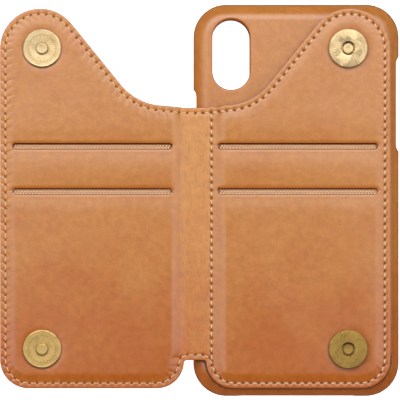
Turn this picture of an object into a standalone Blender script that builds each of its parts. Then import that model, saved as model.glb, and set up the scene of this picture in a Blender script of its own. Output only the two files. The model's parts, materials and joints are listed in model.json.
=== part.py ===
"""Leather phone wallet case: a leather-wrapped phone shell whose back carries a card panel,
with a second card panel as a flap on a leather spine, closed by two magnetic snaps.

The case lies on its front rim with the card panels on top and the flap opened out flat.
+X runs from the flap to the phone shell, +Y to the camera end, +Z away from the screen.
"u" is the distance from the fold line at the middle of the spine; the two card panels are
mirror images of each other about that line. Lengths are in metres.
"""

from math import cos, hypot, pi, radians, sin, tan

import bmesh
import bpy

MM = 0.001

# Driving dimensions ---------------------------------------------------------------------

# The phone that the shell holds
PHONE_WIDTH = 70.9 * MM
PHONE_LENGTH = 143.6 * MM
PHONE_DEPTH = 7.7 * MM

# The leather-wrapped shell, outside
CASE_WIDTH = 77.6 * MM
CASE_LENGTH = 148.0 * MM
CASE_CORNER = 12.4 * MM
CASE_EDGE = 6.0 * MM  # radius between the side walls and the back
FOLD_TO_CASE = 0.65 * MM  # the shell's side stands out past the fold line by this much

# Layers of the shell, from the phone outwards
PHONE_ROOM = 0.1 * MM
FRONT_LIP = 0.9 * MM  # the rim's height above the screen
LIP_OVERHANG = 0.35 * MM
LINING = 0.3 * MM
SHELL_BACK = 1.2 * MM
WRAP = 0.7 * MM
LAYER_GAP = 0.2 * MM

# Outline of a card panel, with u measured from the fold line
PANEL_REACH = 73.5 * MM
PANEL_EDGE = 4.2 * MM  # the outline's edge at the spine, before it's cut back for the fold
PANEL_TOP = 72.2 * MM
PANEL_BOTTOM = -70.8 * MM
TAB_RADIUS = 15.2 * MM
SHOULDER_Y = 35.7 * MM
SHOULDER_FILLET = 21.5 * MM
SLOPE_ANGLE = radians(51)
OUTER_CORNER = 10.8 * MM
INNER_CORNER = 10.2 * MM
SPINE_TOP = 34.9 * MM
SPINE_BOTTOM = -60.2 * MM

# Layers of a card panel, from the case's back upwards
LEATHER = 0.9 * MM
FACE_LEATHER = 1.0 * MM
SPINE_LINING = 0.6 * MM
BOARD = 0.4 * MM
POCKET_CLOTH = 0.2 * MM
GLUE_GAP = 0.3 * MM

# The padded face: a stitched flange round the edge and a raised middle
FLANGE_WIDTH = 2.8 * MM
FLANGE_SLOPE = 1.2 * MM
SEAM_INSET = 2.0 * MM
BOARD_INSET = 0.9 * MM  # the board stops short of the flange by this much
THREAD_RADIUS = 0.25 * MM

# Card slots
SLOT_WIDTH = 60.4 * MM
SLOT_OPENING = 1.9 * MM
SLOT_U = 38.7 * MM
SLOT_HEIGHTS = (20.05 * MM, 3.4 * MM)
POCKET_ABOVE_SLOT = 8.0 * MM
POCKET_BOTTOMS = (-55.0 * MM, -65.6 * MM)
POCKET_INSET = 4.6 * MM

# Magnetic snaps
SNAP_U = 57.6 * MM
SNAP_HEIGHTS = {"upper": 57.2 * MM, "lower": -56.0 * MM}
SNAP_RADIUS = 7.3 * MM
SNAP_SEAT = 0.35 * MM  # how far the snaps sink into the face leather
SOCKET_HEIGHT = 2.0 * MM
DISC_HEIGHT = 0.8 * MM
STUD_HEIGHT = 1.25 * MM
STUD_RADIUS = 2.3 * MM
SOCKET_BORE = 2.5 * MM
RIVET_HEAD = 2.15 * MM
SHANK_RADIUS = 1.1 * MM
SHEET_METAL = 0.3 * MM
METAL_GAP = 0.1 * MM
PRONG_REACH = 3.6 * MM
PRONG_TAIL = 5.6 * MM
PRONG_WIDTH = 2.6 * MM
WASHER_RADIUS = 6.2 * MM
CLOSED_GAP = 0.2 * MM  # between the two halves of a snap when the flap is closed

# Openings of the shell: centre y and length, on the case's own centre line
CAMERA_U = 13.6 * MM
CAMERA_Y = 55.1 * MM
CAMERA_WIDTH = 14.1 * MM
CAMERA_LENGTH = 26.8 * MM
VOLUME_CUT = (36.3 * MM, 35.4 * MM)
POWER_CUT = (28.6 * MM, 26.0 * MM)
PORT_CUT_WIDTH = 46.0 * MM
PORT_CUT_HEIGHT = 6.6 * MM

# Resolution
CORNER_STEPS = 7
EDGE_STEPS = 5
ROUND_STEPS = 28
CUT_MARGIN = 2.0 * MM

# Worked out from the dimensions above ----------------------------------------------------

SEAT_Z = FRONT_LIP + PHONE_DEPTH
LINING_TOP = SEAT_Z + LINING
SHELL_TOP = LINING_TOP + LAYER_GAP + SHELL_BACK
BACK_Z = SHELL_TOP + LAYER_GAP + WRAP

BASE_Z = BACK_Z + GLUE_GAP
BASE_TOP = BASE_Z + LEATHER
UPPER_Z = BASE_TOP + GLUE_GAP  # underside of the flange, the board and the spine lining
AXIS_Z = (BASE_Z + UPPER_Z + SPINE_LINING) / 2
BOARD_TOP = UPPER_Z + BOARD
POCKET_ZS = (BOARD_TOP + GLUE_GAP, BOARD_TOP + 2 * GLUE_GAP + POCKET_CLOTH)
FACE_UNDER = POCKET_ZS[1] + POCKET_CLOTH + GLUE_GAP
FACE_Z = FACE_UNDER + FACE_LEATHER
FLANGE_TOP = UPPER_Z + FACE_LEATHER

# The closed flap lies this far above its open level, which sets the spine's width
SPINE_HALF = (2 * (FACE_Z - AXIS_Z) + SOCKET_HEIGHT + DISC_HEIGHT + CLOSED_GAP) / 2
FOLD_GAP = 1.2 * MM  # each rigid piece stops this far from a fold axis
PANEL_INNER = SPINE_HALF + FOLD_GAP
SPINE_STRIP_HALF = SPINE_HALF - FOLD_GAP

CASE_REACH = CASE_WIDTH - FOLD_TO_CASE
FOLD_X = (PANEL_REACH - CASE_REACH) / 2  # puts the origin under the middle of the open case
CASE_X = FOLD_X + CASE_REACH - CASE_WIDTH / 2

SEAT_FLOOR = FACE_Z - SNAP_SEAT
BRACKET_Z = SEAT_FLOOR + METAL_GAP
BRACKET_TOP = BRACKET_Z + SHEET_METAL
PLATE_Z = BRACKET_TOP + METAL_GAP
WASHER_Z = FACE_UNDER - METAL_GAP - SHEET_METAL
TAIL_Z = WASHER_Z - METAL_GAP - SHEET_METAL
SLIT_U = PRONG_REACH - SHEET_METAL / 2


# Mesh helpers ----------------------------------------------------------------------------


def clear_scene():
    for obj in list(bpy.data.objects):
        bpy.data.objects.remove(obj)


def material(name, colour, roughness, metallic=0.0):
    made = bpy.data.materials.new(name)
    made.use_nodes = True
    shader = made.node_tree.nodes["Principled BSDF"]
    shader.inputs["Base Color"].default_value = (*colour, 1.0)
    shader.inputs["Roughness"].default_value = roughness
    shader.inputs["Metallic"].default_value = metallic
    made.diffuse_color = (*colour, 1.0)
    return made


def make_materials():
    return {
        "tan_leather": material("tan_leather", (0.60, 0.27, 0.10), 0.5),
        "edge_leather": material("edge_leather", (0.55, 0.21, 0.05), 0.5),
        "spine_leather": material("spine_leather", (0.64, 0.32, 0.13), 0.55),
        "thread": material("thread", (0.80, 0.52, 0.24), 0.6),
        "cloth": material("cloth", (0.68, 0.46, 0.30), 0.9),
        "lining": material("lining", (0.25, 0.12, 0.06), 0.95),
        "shell": material("shell", (0.16, 0.07, 0.03), 0.45),
        "board": material("board", (0.42, 0.33, 0.24), 0.9),
        "brass": material("brass", (0.55, 0.42, 0.17), 0.35, 1.0),
        "magnet": material("magnet", (0.25, 0.25, 0.26), 0.4, 1.0),
    }


def mesh_object(name, bm, finish, location=(0, 0, 0)):
    """Closes off bm as an object of its own with outward normals and smooth round faces."""
    bmesh.ops.recalc_face_normals(bm, faces=bm.faces)
    mesh = bpy.data.meshes.new(name)
    bm.to_mesh(mesh)
    bm.free()
    mesh.materials.append(finish)
    mesh.shade_smooth()
    mesh.set_sharp_from_angle(angle=radians(40))
    obj = bpy.data.objects.new(name, mesh)
    obj.location = location
    bpy.context.collection.objects.link(obj)
    return obj


def loops_to_bmesh(loops, close_ends=True):
    """Joins loops of points, all with the same count, by bands of quads."""
    bm = bmesh.new()
    rings = [[bm.verts.new(point) for point in loop] for loop in loops]
    count = len(rings[0])
    for lower, upper in zip(rings, rings[1:]):
        for i in range(count):
            j = (i + 1) % count
            bm.faces.new((lower[i], lower[j], upper[j], upper[i]))
    if close_ends:
        bm.faces.new(rings[0])
        bm.faces.new(rings[-1])
    return bm


def level(points, z):
    return [(x, y, z) for x, y in points]


def arc(centre, radius, start, end, steps=CORNER_STEPS):
    """Points on an arc, both ends included. Angles are in degrees."""
    turn = [radians(start + (end - start) * i / steps) for i in range(steps + 1)]
    return [(centre[0] + radius * cos(a), centre[1] + radius * sin(a)) for a in turn]


def rounded_rectangle(half_x, half_y, radius, centre=(0, 0), steps=CORNER_STEPS):
    points = []
    for sx, sy, start in ((1, 1, 0), (-1, 1, 90), (-1, -1, 180), (1, -1, 270)):
        corner = (centre[0] + sx * (half_x - radius), centre[1] + sy * (half_y - radius))
        points += arc(corner, radius, start, start + 90, steps)
    return points


def inset(points, distance):
    """Moves a counter-clockwise outline inwards, keeping its corners mitred."""
    moved = []
    for i, (x, y) in enumerate(points):
        before, after = points[i - 1], points[(i + 1) % len(points)]
        first, second = left_normal(before, (x, y)), left_normal((x, y), after)
        spread = 1 + first[0] * second[0] + first[1] * second[1]
        moved.append(
            (
                x + distance * (first[0] + second[0]) / spread,
                y + distance * (first[1] + second[1]) / spread,
            )
        )
    return moved


def left_normal(start, end):
    dx, dy = end[0] - start[0], end[1] - start[1]
    length = hypot(dx, dy)
    return -dy / length, dx / length


def sheet(name, points, bottom, top, finish):
    """A flat piece of the given outline."""
    return mesh_object(name, loops_to_bmesh([level(points, bottom), level(points, top)]), finish)


def turned(name, profile, centre, finish):
    """A round piece: the closed (radius, height) profile swept about a vertical axis."""
    bm = bmesh.new()
    rows = []
    for radius, height in profile:
        if radius == 0:
            rows.append([bm.verts.new((0, 0, height))] * ROUND_STEPS)
            continue
        angles = [2 * pi * i / ROUND_STEPS for i in range(ROUND_STEPS)]
        rows.append([bm.verts.new((radius * cos(a), radius * sin(a), height)) for a in angles])
    for k, row in enumerate(rows):
        following = rows[(k + 1) % len(rows)]
        for i in range(ROUND_STEPS):
            j = (i + 1) % ROUND_STEPS
            corners = dict.fromkeys((row[i], row[j], following[j], following[i]))
            if len(corners) > 2:
                bm.faces.new(list(corners))
    return mesh_object(name, bm, finish, (*centre, 0))


def cutter(points, bottom, top, finish, centre=(0, 0)):
    """A prism that takes material away from other pieces; it isn't a piece itself."""
    bm = loops_to_bmesh([level(points, bottom), level(points, top)])
    obj = mesh_object("cutter", bm, finish, (*centre, 0))
    obj.hide_render = True
    obj.display_type = "WIRE"
    return obj


def cut(obj, *tools):
    for tool in tools:
        boolean = obj.modifiers.new("cut", "BOOLEAN")
        boolean.operation = "DIFFERENCE"
        boolean.solver = "EXACT"
        boolean.object = tool


def tube(name, points, height, radius, finish, cyclic):
    """A thread laid along points at one height."""
    curve = bpy.data.curves.new(name, "CURVE")
    curve.dimensions = "3D"
    curve.bevel_depth = radius
    curve.bevel_resolution = 1
    curve.use_fill_caps = not cyclic
    spline = curve.splines.new("POLY")
    spline.points.add(len(points) - 1)
    for point, (x, y) in zip(spline.points, points):
        point.co = (x, y, height, 1)
    spline.use_cyclic_u = cyclic
    curve.materials.append(finish)
    obj = bpy.data.objects.new(name, curve)
    bpy.context.collection.objects.link(obj)
    return obj


# Phone shell -----------------------------------------------------------------------------


def dome_loops(half_x, half_y, corner, edge, top, start_z):
    """Loops of a wall that rises from start_z and rounds over into a flat top."""
    loops = [level(rounded_rectangle(half_x, half_y, corner, (CASE_X, 0)), start_z)]
    for step in range(EDGE_STEPS + 1):
        turn = pi / 2 * step / EDGE_STEPS
        shrink = edge * (1 - cos(turn))
        points = rounded_rectangle(
            half_x - shrink, half_y - shrink, corner - shrink, (CASE_X, 0)
        )
        loops.append(level(points, top - edge + edge * sin(turn)))
    return loops


def tray(name, outer, inner, finish):
    """A tray open at the front: the outer loops run from the rim to the back, and so do
    the inner ones; the rim joins the first loop of each."""
    return mesh_object(name, loops_to_bmesh(list(reversed(outer)) + inner), finish)


def build_shell(finishes):
    half_x, half_y = CASE_WIDTH / 2, CASE_LENGTH / 2
    room_x = PHONE_WIDTH / 2 + PHONE_ROOM
    room_y = PHONE_LENGTH / 2 + PHONE_ROOM
    room_corner = CASE_CORNER - (half_y - room_y)
    room_edge = 3.5 * MM
    rim_ledge = FRONT_LIP + GLUE_GAP

    wrap = tray(
        "shell_leather",
        dome_loops(half_x, half_y, CASE_CORNER, CASE_EDGE, BACK_Z, rim_ledge),
        dome_loops(
            half_x - WRAP, half_y - WRAP, CASE_CORNER - WRAP, CASE_EDGE - WRAP,
            BACK_Z - WRAP, rim_ledge,
        ),
        finishes["tan_leather"],
    )

    under_wrap = WRAP + LAYER_GAP
    over_lining = LINING + LAYER_GAP
    bezel = level(
        rounded_rectangle(half_x - 0.3 * MM, half_y - 0.3 * MM, CASE_CORNER, (CASE_X, 0)), 0
    )
    bezel_top = level(rounded_rectangle(half_x, half_y, CASE_CORNER, (CASE_X, 0)), FRONT_LIP)
    ledge_root = level(
        rounded_rectangle(
            half_x - under_wrap, half_y - under_wrap, CASE_CORNER - under_wrap, (CASE_X, 0)
        ),
        FRONT_LIP,
    )
    body = dome_loops(
        half_x - under_wrap, half_y - under_wrap, CASE_CORNER - under_wrap,
        CASE_EDGE - under_wrap, SHELL_TOP, rim_ledge,
    )
    lip_x, lip_y = room_x - LIP_OVERHANG, room_y - LIP_OVERHANG
    lip = [
        level(rounded_rectangle(lip_x, lip_y, room_corner - LIP_OVERHANG, (CASE_X, 0)), z)
        for z in (0, FRONT_LIP - LAYER_GAP)
    ]
    cavity = dome_loops(
        room_x + over_lining, room_y + over_lining, room_corner + over_lining,
        room_edge + over_lining, SHELL_TOP - SHELL_BACK, FRONT_LIP - LAYER_GAP,
    )
    shell = tray(
        "hard_shell", [bezel, bezel_top, ledge_root, *body], [*lip, *cavity], finishes["shell"]
    )

    lining = tray(
        "shell_lining",
        dome_loops(
            room_x + LINING, room_y + LINING, room_corner + LINING, room_edge + LINING,
            LINING_TOP, FRONT_LIP,
        ),
        dome_loops(room_x, room_y, room_corner, room_edge, SEAT_Z, FRONT_LIP),
        finishes["lining"],
    )

    cuts = shell_cutters(finishes["shell"], room_x, room_y)
    for piece in (wrap, shell, lining):
        cut(piece, *cuts)


def shell_cutters(finish, room_x, room_y):
    """Camera window, the two rows of side buttons and the port at the bottom end."""
    camera = cutter(
        rounded_rectangle(CAMERA_WIDTH / 2, CAMERA_LENGTH / 2, CAMERA_WIDTH / 2, steps=8),
        SEAT_Z - CUT_MARGIN, BACK_Z + CUT_MARGIN, finish, (FOLD_X + CAMERA_U, CAMERA_Y),
    )
    wall_x = (CASE_WIDTH / 2 + room_x) / 2
    wall_y = (CASE_LENGTH / 2 + room_y) / 2
    side_half = wall_x - room_x + 0.6 * MM
    end_half = wall_y - room_y + 0.6 * MM
    cuts = [camera]
    for side, (y, length) in ((1, VOLUME_CUT), (-1, POWER_CUT)):
        cuts.append(
            scoop(side_half, length / 2, SEAT_Z, finish, (CASE_X + side * wall_x, y), "X")
        )
    port = scoop(
        PORT_CUT_WIDTH / 2, end_half, PORT_CUT_HEIGHT, finish, (CASE_X, -wall_y), "Y"
    )
    cuts.append(port)
    return cuts


def scoop(half_x, half_y, top, finish, centre, through):
    """A cutter for a wall, open at the rim, with its two upper corners rounded."""
    radius = 2.5 * MM
    half = half_y if through == "X" else half_x
    depth = half_x if through == "X" else half_y
    profile = [(-half, -CUT_MARGIN), (half, -CUT_MARGIN)]
    profile += arc((half - radius, top - radius), radius, 0, 90, 4)
    profile += arc((radius - half, top - radius), radius, 90, 180, 4)
    ends = []
    for across in (-depth, depth):
        if through == "X":
            ends.append([(across, along, z) for along, z in profile])
        else:
            ends.append([(along, across, z) for along, z in profile])
    obj = mesh_object("cutter", loops_to_bmesh(ends), finish, (*centre, 0))
    obj.hide_render = True
    obj.display_type = "WIRE"
    return obj


# Card panels -----------------------------------------------------------------------------


def panel_outline():
    """Counter-clockwise outline of a card panel in (u, y), from the spine's lower end."""
    tab = (PANEL_REACH - TAB_RADIUS, PANEL_TOP - TAB_RADIUS)
    tangent = (tab[0] - TAB_RADIUS * sin(SLOPE_ANGLE), tab[1] + TAB_RADIUS * cos(SLOPE_ANGLE))
    meet = tangent[0] - (tangent[1] - SHOULDER_Y) / tan(SLOPE_ANGLE)
    fillet = (meet - SHOULDER_FILLET * tan(SLOPE_ANGLE / 2), SHOULDER_Y + SHOULDER_FILLET)
    slope = 51
    points = arc(
        (PANEL_EDGE + INNER_CORNER, PANEL_BOTTOM + INNER_CORNER), INNER_CORNER, 180, 270
    )
    points += arc(
        (PANEL_REACH - OUTER_CORNER, PANEL_BOTTOM + OUTER_CORNER), OUTER_CORNER, 270, 360
    )
    points += arc(tab, TAB_RADIUS, 0, 90 + slope, 14)
    points += arc(fillet, SHOULDER_FILLET, 270 + slope, 270, 6)
    points.append((PANEL_EDGE, SPINE_TOP))
    return points


def panel_loop(distance):
    """The outline moved inwards, and cut back where it would reach into the fold."""
    return [(max(u, PANEL_INNER), y) for u, y in inset(panel_outline(), distance)]


def placed(points, side):
    """Outline points in the part's frame; side is +1 for the panel on the case, -1 for the flap."""
    moved = [(FOLD_X + side * u, y) for u, y in points]
    return moved if side > 0 else moved[::-1]


def face_loops(side):
    """The padded face: flange, slope and raised middle above, and the same below."""
    thick_step = 0.3 * MM
    above = (
        (0, FLANGE_TOP),
        (FLANGE_WIDTH, FLANGE_TOP),
        (FLANGE_WIDTH + FLANGE_SLOPE, FACE_Z),
    )
    below = (
        (FLANGE_WIDTH + FLANGE_SLOPE + thick_step, FACE_UNDER),
        (FLANGE_WIDTH + thick_step, UPPER_Z),
        (0, UPPER_Z),
    )
    return [level(placed(panel_loop(d), side), z) for d, z in below + above]


def slot_cutter(side, y, finish):
    points = rounded_rectangle(SLOT_WIDTH / 2, SLOT_OPENING / 2, SLOT_OPENING / 2, steps=4)
    return cutter(
        points, UPPER_Z - CUT_MARGIN, FACE_Z + CUT_MARGIN, finish,
        (FOLD_X + side * SLOT_U, y),
    )


def snap_centre(side, y):
    return (FOLD_X + side * SNAP_U, y)


def round_points(radius, steps=ROUND_STEPS):
    return [(radius * cos(2 * pi * i / steps), radius * sin(2 * pi * i / steps)) for i in range(steps)]


def slit_cutter(direction, centre, finish):
    """The slit that one prong passes through."""
    room = 0.15 * MM
    points = rounded_rectangle(
        SHEET_METAL / 2 + room, PRONG_WIDTH / 2 + room, 0.1 * MM,
        (direction * SLIT_U, 0), steps=1,
    )
    return cutter(points, TAIL_Z - CUT_MARGIN, FACE_Z + CUT_MARGIN, finish, centre)


def pocket_cloth(name, side, slot_y, bottom, z, finish):
    """The cloth behind one card slot, with a round relief for the lower snap's washer."""
    top = slot_y + POCKET_ABOVE_SLOT
    inner, outer = PANEL_EDGE + POCKET_INSET, PANEL_REACH - POCKET_INSET
    middle = ((inner + outer) / 2, (top + bottom) / 2)
    points = rounded_rectangle((outer - inner) / 2, (top - bottom) / 2, 6.0 * MM, middle, 4)
    piece = sheet(name, placed(points, side), z, z + POCKET_CLOTH, finish)
    relief = cutter(
        round_points(WASHER_RADIUS + GLUE_GAP), z - CUT_MARGIN, z + CUT_MARGIN, finish,
        snap_centre(side, SNAP_HEIGHTS["lower"]),
    )
    cut(piece, relief)


def build_card_panel(prefix, side, base_name, finishes):
    """One card panel: base leather, board, two pocket cloths, padded face and its seam."""
    sheet(base_name, placed(panel_loop(0), side), BASE_Z, BASE_TOP, finishes["tan_leather"])
    board = panel_loop(FLANGE_WIDTH + BOARD_INSET)
    sheet(prefix + "_board", placed(board, side), UPPER_Z, BOARD_TOP, finishes["board"])
    for label, slot_y, bottom, z in zip(
        ("upper", "lower"), SLOT_HEIGHTS, POCKET_BOTTOMS, POCKET_ZS
    ):
        pocket_cloth(f"{prefix}_{label}_pocket", side, slot_y, bottom, z, finishes["cloth"])

    face = mesh_object(
        prefix + "_face_leather", loops_to_bmesh(face_loops(side)), finishes["tan_leather"]
    )
    for slot_y in SLOT_HEIGHTS:
        cut(face, slot_cutter(side, slot_y, finishes["cloth"]))
    for y in SNAP_HEIGHTS.values():
        centre = snap_centre(side, y)
        seat = cutter(
            round_points(SNAP_RADIUS + GLUE_GAP), SEAT_FLOOR, FACE_Z + CUT_MARGIN,
            finishes["brass"], centre,
        )
        slits = [slit_cutter(direction, centre, finishes["brass"]) for direction in (-1, 1)]
        cut(face, seat, *slits)


def build_seams(finish):
    """The panel on the case is stitched all round. The flap's seam leaves out its edge at the
    spine, and runs on across the spine's two ends."""
    height = FLANGE_TOP + METAL_GAP + THREAD_RADIUS
    line = inset(panel_outline(), SEAM_INSET)
    tube("panel_seam_thread", placed(line, 1), height, THREAD_RADIUS, finish, cyclic=True)
    tube("flap_seam_thread", placed(line, -1), height, THREAD_RADIUS, finish, cyclic=False)
    spine_height = UPPER_Z + SPINE_LINING + METAL_GAP + THREAD_RADIUS
    for label, y in (("upper", SPINE_TOP - SEAM_INSET), ("lower", SPINE_BOTTOM + SEAM_INSET)):
        reach = SPINE_STRIP_HALF - 2 * THREAD_RADIUS  # clear of the face leather when folded
        points = [(FOLD_X - reach, y), (FOLD_X, y), (FOLD_X + reach, y)]
        name = f"spine_{label}_thread"
        tube(name, points, spine_height, THREAD_RADIUS, finish, cyclic=False)


def build_spine(finishes):
    """The strip between the two fold axes, in two layers."""
    points = [
        (FOLD_X - SPINE_STRIP_HALF, SPINE_BOTTOM),
        (FOLD_X + SPINE_STRIP_HALF, SPINE_BOTTOM),
        (FOLD_X + SPINE_STRIP_HALF, SPINE_TOP),
        (FOLD_X - SPINE_STRIP_HALF, SPINE_TOP),
    ]
    sheet("spine_outer_leather", points, BASE_Z, BASE_TOP, finishes["tan_leather"])
    sheet(
        "spine_inner_leather", points, UPPER_Z, UPPER_Z + SPINE_LINING,
        finishes["spine_leather"],
    )


# Magnetic snaps --------------------------------------------------------------------------


def prongs(name, centre, finish):
    """A bridge of sheet metal with two legs that pass through the leather and fold out."""
    half, inner = PRONG_REACH, PRONG_REACH - SHEET_METAL
    tail_top = TAIL_Z + SHEET_METAL
    profile = [
        (-half, BRACKET_TOP), (half, BRACKET_TOP), (half, tail_top), (PRONG_TAIL, tail_top),
        (PRONG_TAIL, TAIL_Z), (inner, TAIL_Z), (inner, BRACKET_Z), (-inner, BRACKET_Z),
        (-inner, TAIL_Z), (-PRONG_TAIL, TAIL_Z), (-PRONG_TAIL, tail_top), (-half, tail_top),
    ]
    ends = [[(x, y, z) for x, z in profile] for y in (-PRONG_WIDTH / 2, PRONG_WIDTH / 2)]
    piece = mesh_object(name, loops_to_bmesh(ends), finish, (*centre, 0))
    hole = cutter(
        round_points(SHANK_RADIUS + METAL_GAP, 16), BRACKET_Z - METAL_GAP, FACE_Z + CUT_MARGIN,
        finish, centre,
    )
    cut(piece, hole)


def washer(name, centre, finish):
    points = [(centre[0] + x, centre[1] + y) for x, y in round_points(WASHER_RADIUS)]
    piece = sheet(name, points, WASHER_Z, WASHER_Z + SHEET_METAL, finish)
    cut(piece, *[slit_cutter(direction, centre, finish) for direction in (-1, 1)])


def build_socket(label, centre, finishes):
    """The half on the case: a cap round a ring magnet, with a rivet at the socket's floor."""
    name = f"{label}_socket"
    top = FACE_Z + SOCKET_HEIGHT
    plate = 0.35 * MM
    skirt = SNAP_RADIUS - 0.45 * MM
    collar = SOCKET_BORE + 0.22 * MM
    head_top = PLATE_Z + SHEET_METAL
    bevel = 0.25 * MM
    turned(
        name + "_cap",
        [
            (SOCKET_BORE + bevel, top), (SNAP_RADIUS - bevel, top), (SNAP_RADIUS, top - bevel),
            (SNAP_RADIUS, BRACKET_Z), (skirt, BRACKET_Z), (skirt, top - plate),
            (collar, top - plate), (collar, head_top + METAL_GAP),
            (SOCKET_BORE, head_top + METAL_GAP), (SOCKET_BORE, top - bevel),
        ],
        centre, finishes["brass"],
    )
    magnet_inner = collar + METAL_GAP
    magnet_outer = skirt - METAL_GAP
    magnet_top = top - plate - METAL_GAP
    turned(
        name + "_magnet",
        [
            (magnet_inner, PLATE_Z), (magnet_outer, PLATE_Z),
            (magnet_outer, magnet_top), (magnet_inner, magnet_top),
        ],
        centre, finishes["magnet"],
    )
    turned(
        name + "_rivet",
        [
            (0, BRACKET_Z), (SHANK_RADIUS, BRACKET_Z), (SHANK_RADIUS, PLATE_Z),
            (RIVET_HEAD, PLATE_Z), (RIVET_HEAD, head_top), (0, head_top),
        ],
        centre, finishes["brass"],
    )
    prongs(name + "_prongs", centre, finishes["brass"])
    washer(name + "_washer", centre, finishes["brass"])


def build_stud(label, centre, finishes):
    """The half on the flap: a thin disc with a riveted stud."""
    name = f"{label}_stud"
    top = FACE_Z + DISC_HEIGHT
    skirt = SNAP_RADIUS - 0.5 * MM
    bevel = 0.2 * MM
    hole = SHANK_RADIUS + 0.15 * MM
    turned(
        name + "_disc",
        [
            (hole, top), (SNAP_RADIUS - bevel, top), (SNAP_RADIUS, top - bevel),
            (SNAP_RADIUS, BRACKET_Z), (skirt, BRACKET_Z), (skirt, PLATE_Z), (hole, PLATE_Z),
        ],
        centre, finishes["brass"],
    )
    head = top + METAL_GAP
    turned(
        name + "_rivet",
        [
            (0, BRACKET_Z), (SHANK_RADIUS, BRACKET_Z), (SHANK_RADIUS, head),
            (STUD_RADIUS, head), (STUD_RADIUS, top + STUD_HEIGHT - bevel),
            (STUD_RADIUS - bevel, top + STUD_HEIGHT), (0, top + STUD_HEIGHT),
        ],
        centre, finishes["brass"],
    )
    prongs(name + "_prongs", centre, finishes["brass"])
    washer(name + "_washer", centre, finishes["brass"])


def main():
    clear_scene()
    finishes = make_materials()
    build_shell(finishes)
    build_card_panel("panel", 1, "panel_base_leather", finishes)
    build_card_panel("flap", -1, "flap_outer_leather", finishes)
    build_spine(finishes)
    build_seams(finishes["thread"])
    for label, y in SNAP_HEIGHTS.items():
        build_socket(label, snap_centre(1, y), finishes)
        build_stud(label, snap_centre(-1, y), finishes)


main()
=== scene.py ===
"""Looks of a leather phone wallet case, laid out as an add-on and run as a script.

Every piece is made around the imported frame, in metres, +Z up. "u" is the distance from the
fold line at the middle of the spine; the card panel on the case and the one on the flap are
mirror images of each other about that line.
"""

import json
from math import cos, exp, hypot, pi, radians, sin, sqrt, tan

import bmesh
import bpy
import numpy as np
from bpy.props import FloatProperty, FloatVectorProperty, IntProperty, PointerProperty
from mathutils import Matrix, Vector, geometry, kdtree, noise


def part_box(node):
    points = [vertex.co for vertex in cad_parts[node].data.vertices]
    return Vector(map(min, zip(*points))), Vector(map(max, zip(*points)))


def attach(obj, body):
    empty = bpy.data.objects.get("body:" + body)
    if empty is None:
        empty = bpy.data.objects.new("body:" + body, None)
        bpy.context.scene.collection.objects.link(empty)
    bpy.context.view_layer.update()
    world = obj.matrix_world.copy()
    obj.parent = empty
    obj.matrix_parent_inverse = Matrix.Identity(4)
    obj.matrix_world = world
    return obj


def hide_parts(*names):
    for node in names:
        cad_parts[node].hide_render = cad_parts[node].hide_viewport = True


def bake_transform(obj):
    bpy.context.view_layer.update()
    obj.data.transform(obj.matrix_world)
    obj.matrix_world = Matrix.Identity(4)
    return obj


bl_info = {
    "name": "Leather wallet case",
    "version": (1, 0, 0),
    "blender": (4, 5, 0),
    "location": "3D View > Sidebar > Wallet case",
    "description": "Builds the finish of a leather phone wallet case around its frame",
    "category": "Object",
}

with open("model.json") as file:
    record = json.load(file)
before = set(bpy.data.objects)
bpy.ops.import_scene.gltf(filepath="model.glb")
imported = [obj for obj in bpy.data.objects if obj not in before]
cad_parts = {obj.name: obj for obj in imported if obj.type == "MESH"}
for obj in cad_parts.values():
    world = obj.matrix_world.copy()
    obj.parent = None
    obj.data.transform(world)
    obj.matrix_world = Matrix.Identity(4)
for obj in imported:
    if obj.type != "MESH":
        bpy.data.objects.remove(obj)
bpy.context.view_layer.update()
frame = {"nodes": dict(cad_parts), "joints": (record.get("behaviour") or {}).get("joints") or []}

MM = 0.001

# Read from the frame ----------------------------------------------------------------------

FOLDS = {joint["name"]: Vector(joint["pos_m"]) for joint in frame["joints"]}
FOLD_X = (FOLDS["spine_fold"].x + FOLDS["flap_fold"].x) / 2
FACE_LOW, FACE_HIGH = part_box("panel_face_leather")
BASE_LOW, BASE_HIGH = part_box("panel_base_leather")
SPINE_LOW, SPINE_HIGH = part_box("spine_inner_leather")
CASE_LOW, CASE_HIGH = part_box("shell_leather")
SHELL_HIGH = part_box("hard_shell")[1]
LINING_LOW, LINING_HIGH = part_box("shell_lining")
CAP_LOW, CAP_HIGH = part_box("upper_socket_cap")

PANEL_INNER = FACE_LOW.x - FOLD_X  # where the rigid panels stop and the soft spine starts
PANEL_REACH = FACE_HIGH.x - FOLD_X
PANEL_TOP = FACE_HIGH.y
PANEL_BOTTOM = FACE_LOW.y
UPPER_Z = FACE_LOW.z
FACE_Z = FACE_HIGH.z
BASE_Z = BASE_LOW.z
BASE_TOP = BASE_HIGH.z
SPINE_TOP = SPINE_HIGH.y
SPINE_BOTTOM = SPINE_LOW.y
SPINE_Z = SPINE_HIGH.z
CASE_X = (CASE_LOW.x + CASE_HIGH.x) / 2
CASE_HALF_X = (CASE_HIGH.x - CASE_LOW.x) / 2
CASE_HALF_Y = (CASE_HIGH.y - CASE_LOW.y) / 2
BACK_Z = CASE_HIGH.z
SNAP_U = (CAP_LOW.x + CAP_HIGH.x) / 2 - FOLD_X
SNAP_RADIUS = (CAP_HIGH.x - CAP_LOW.x) / 2

# The frame's own outlines, which its boxes don't give ----------------------------------------

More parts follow.
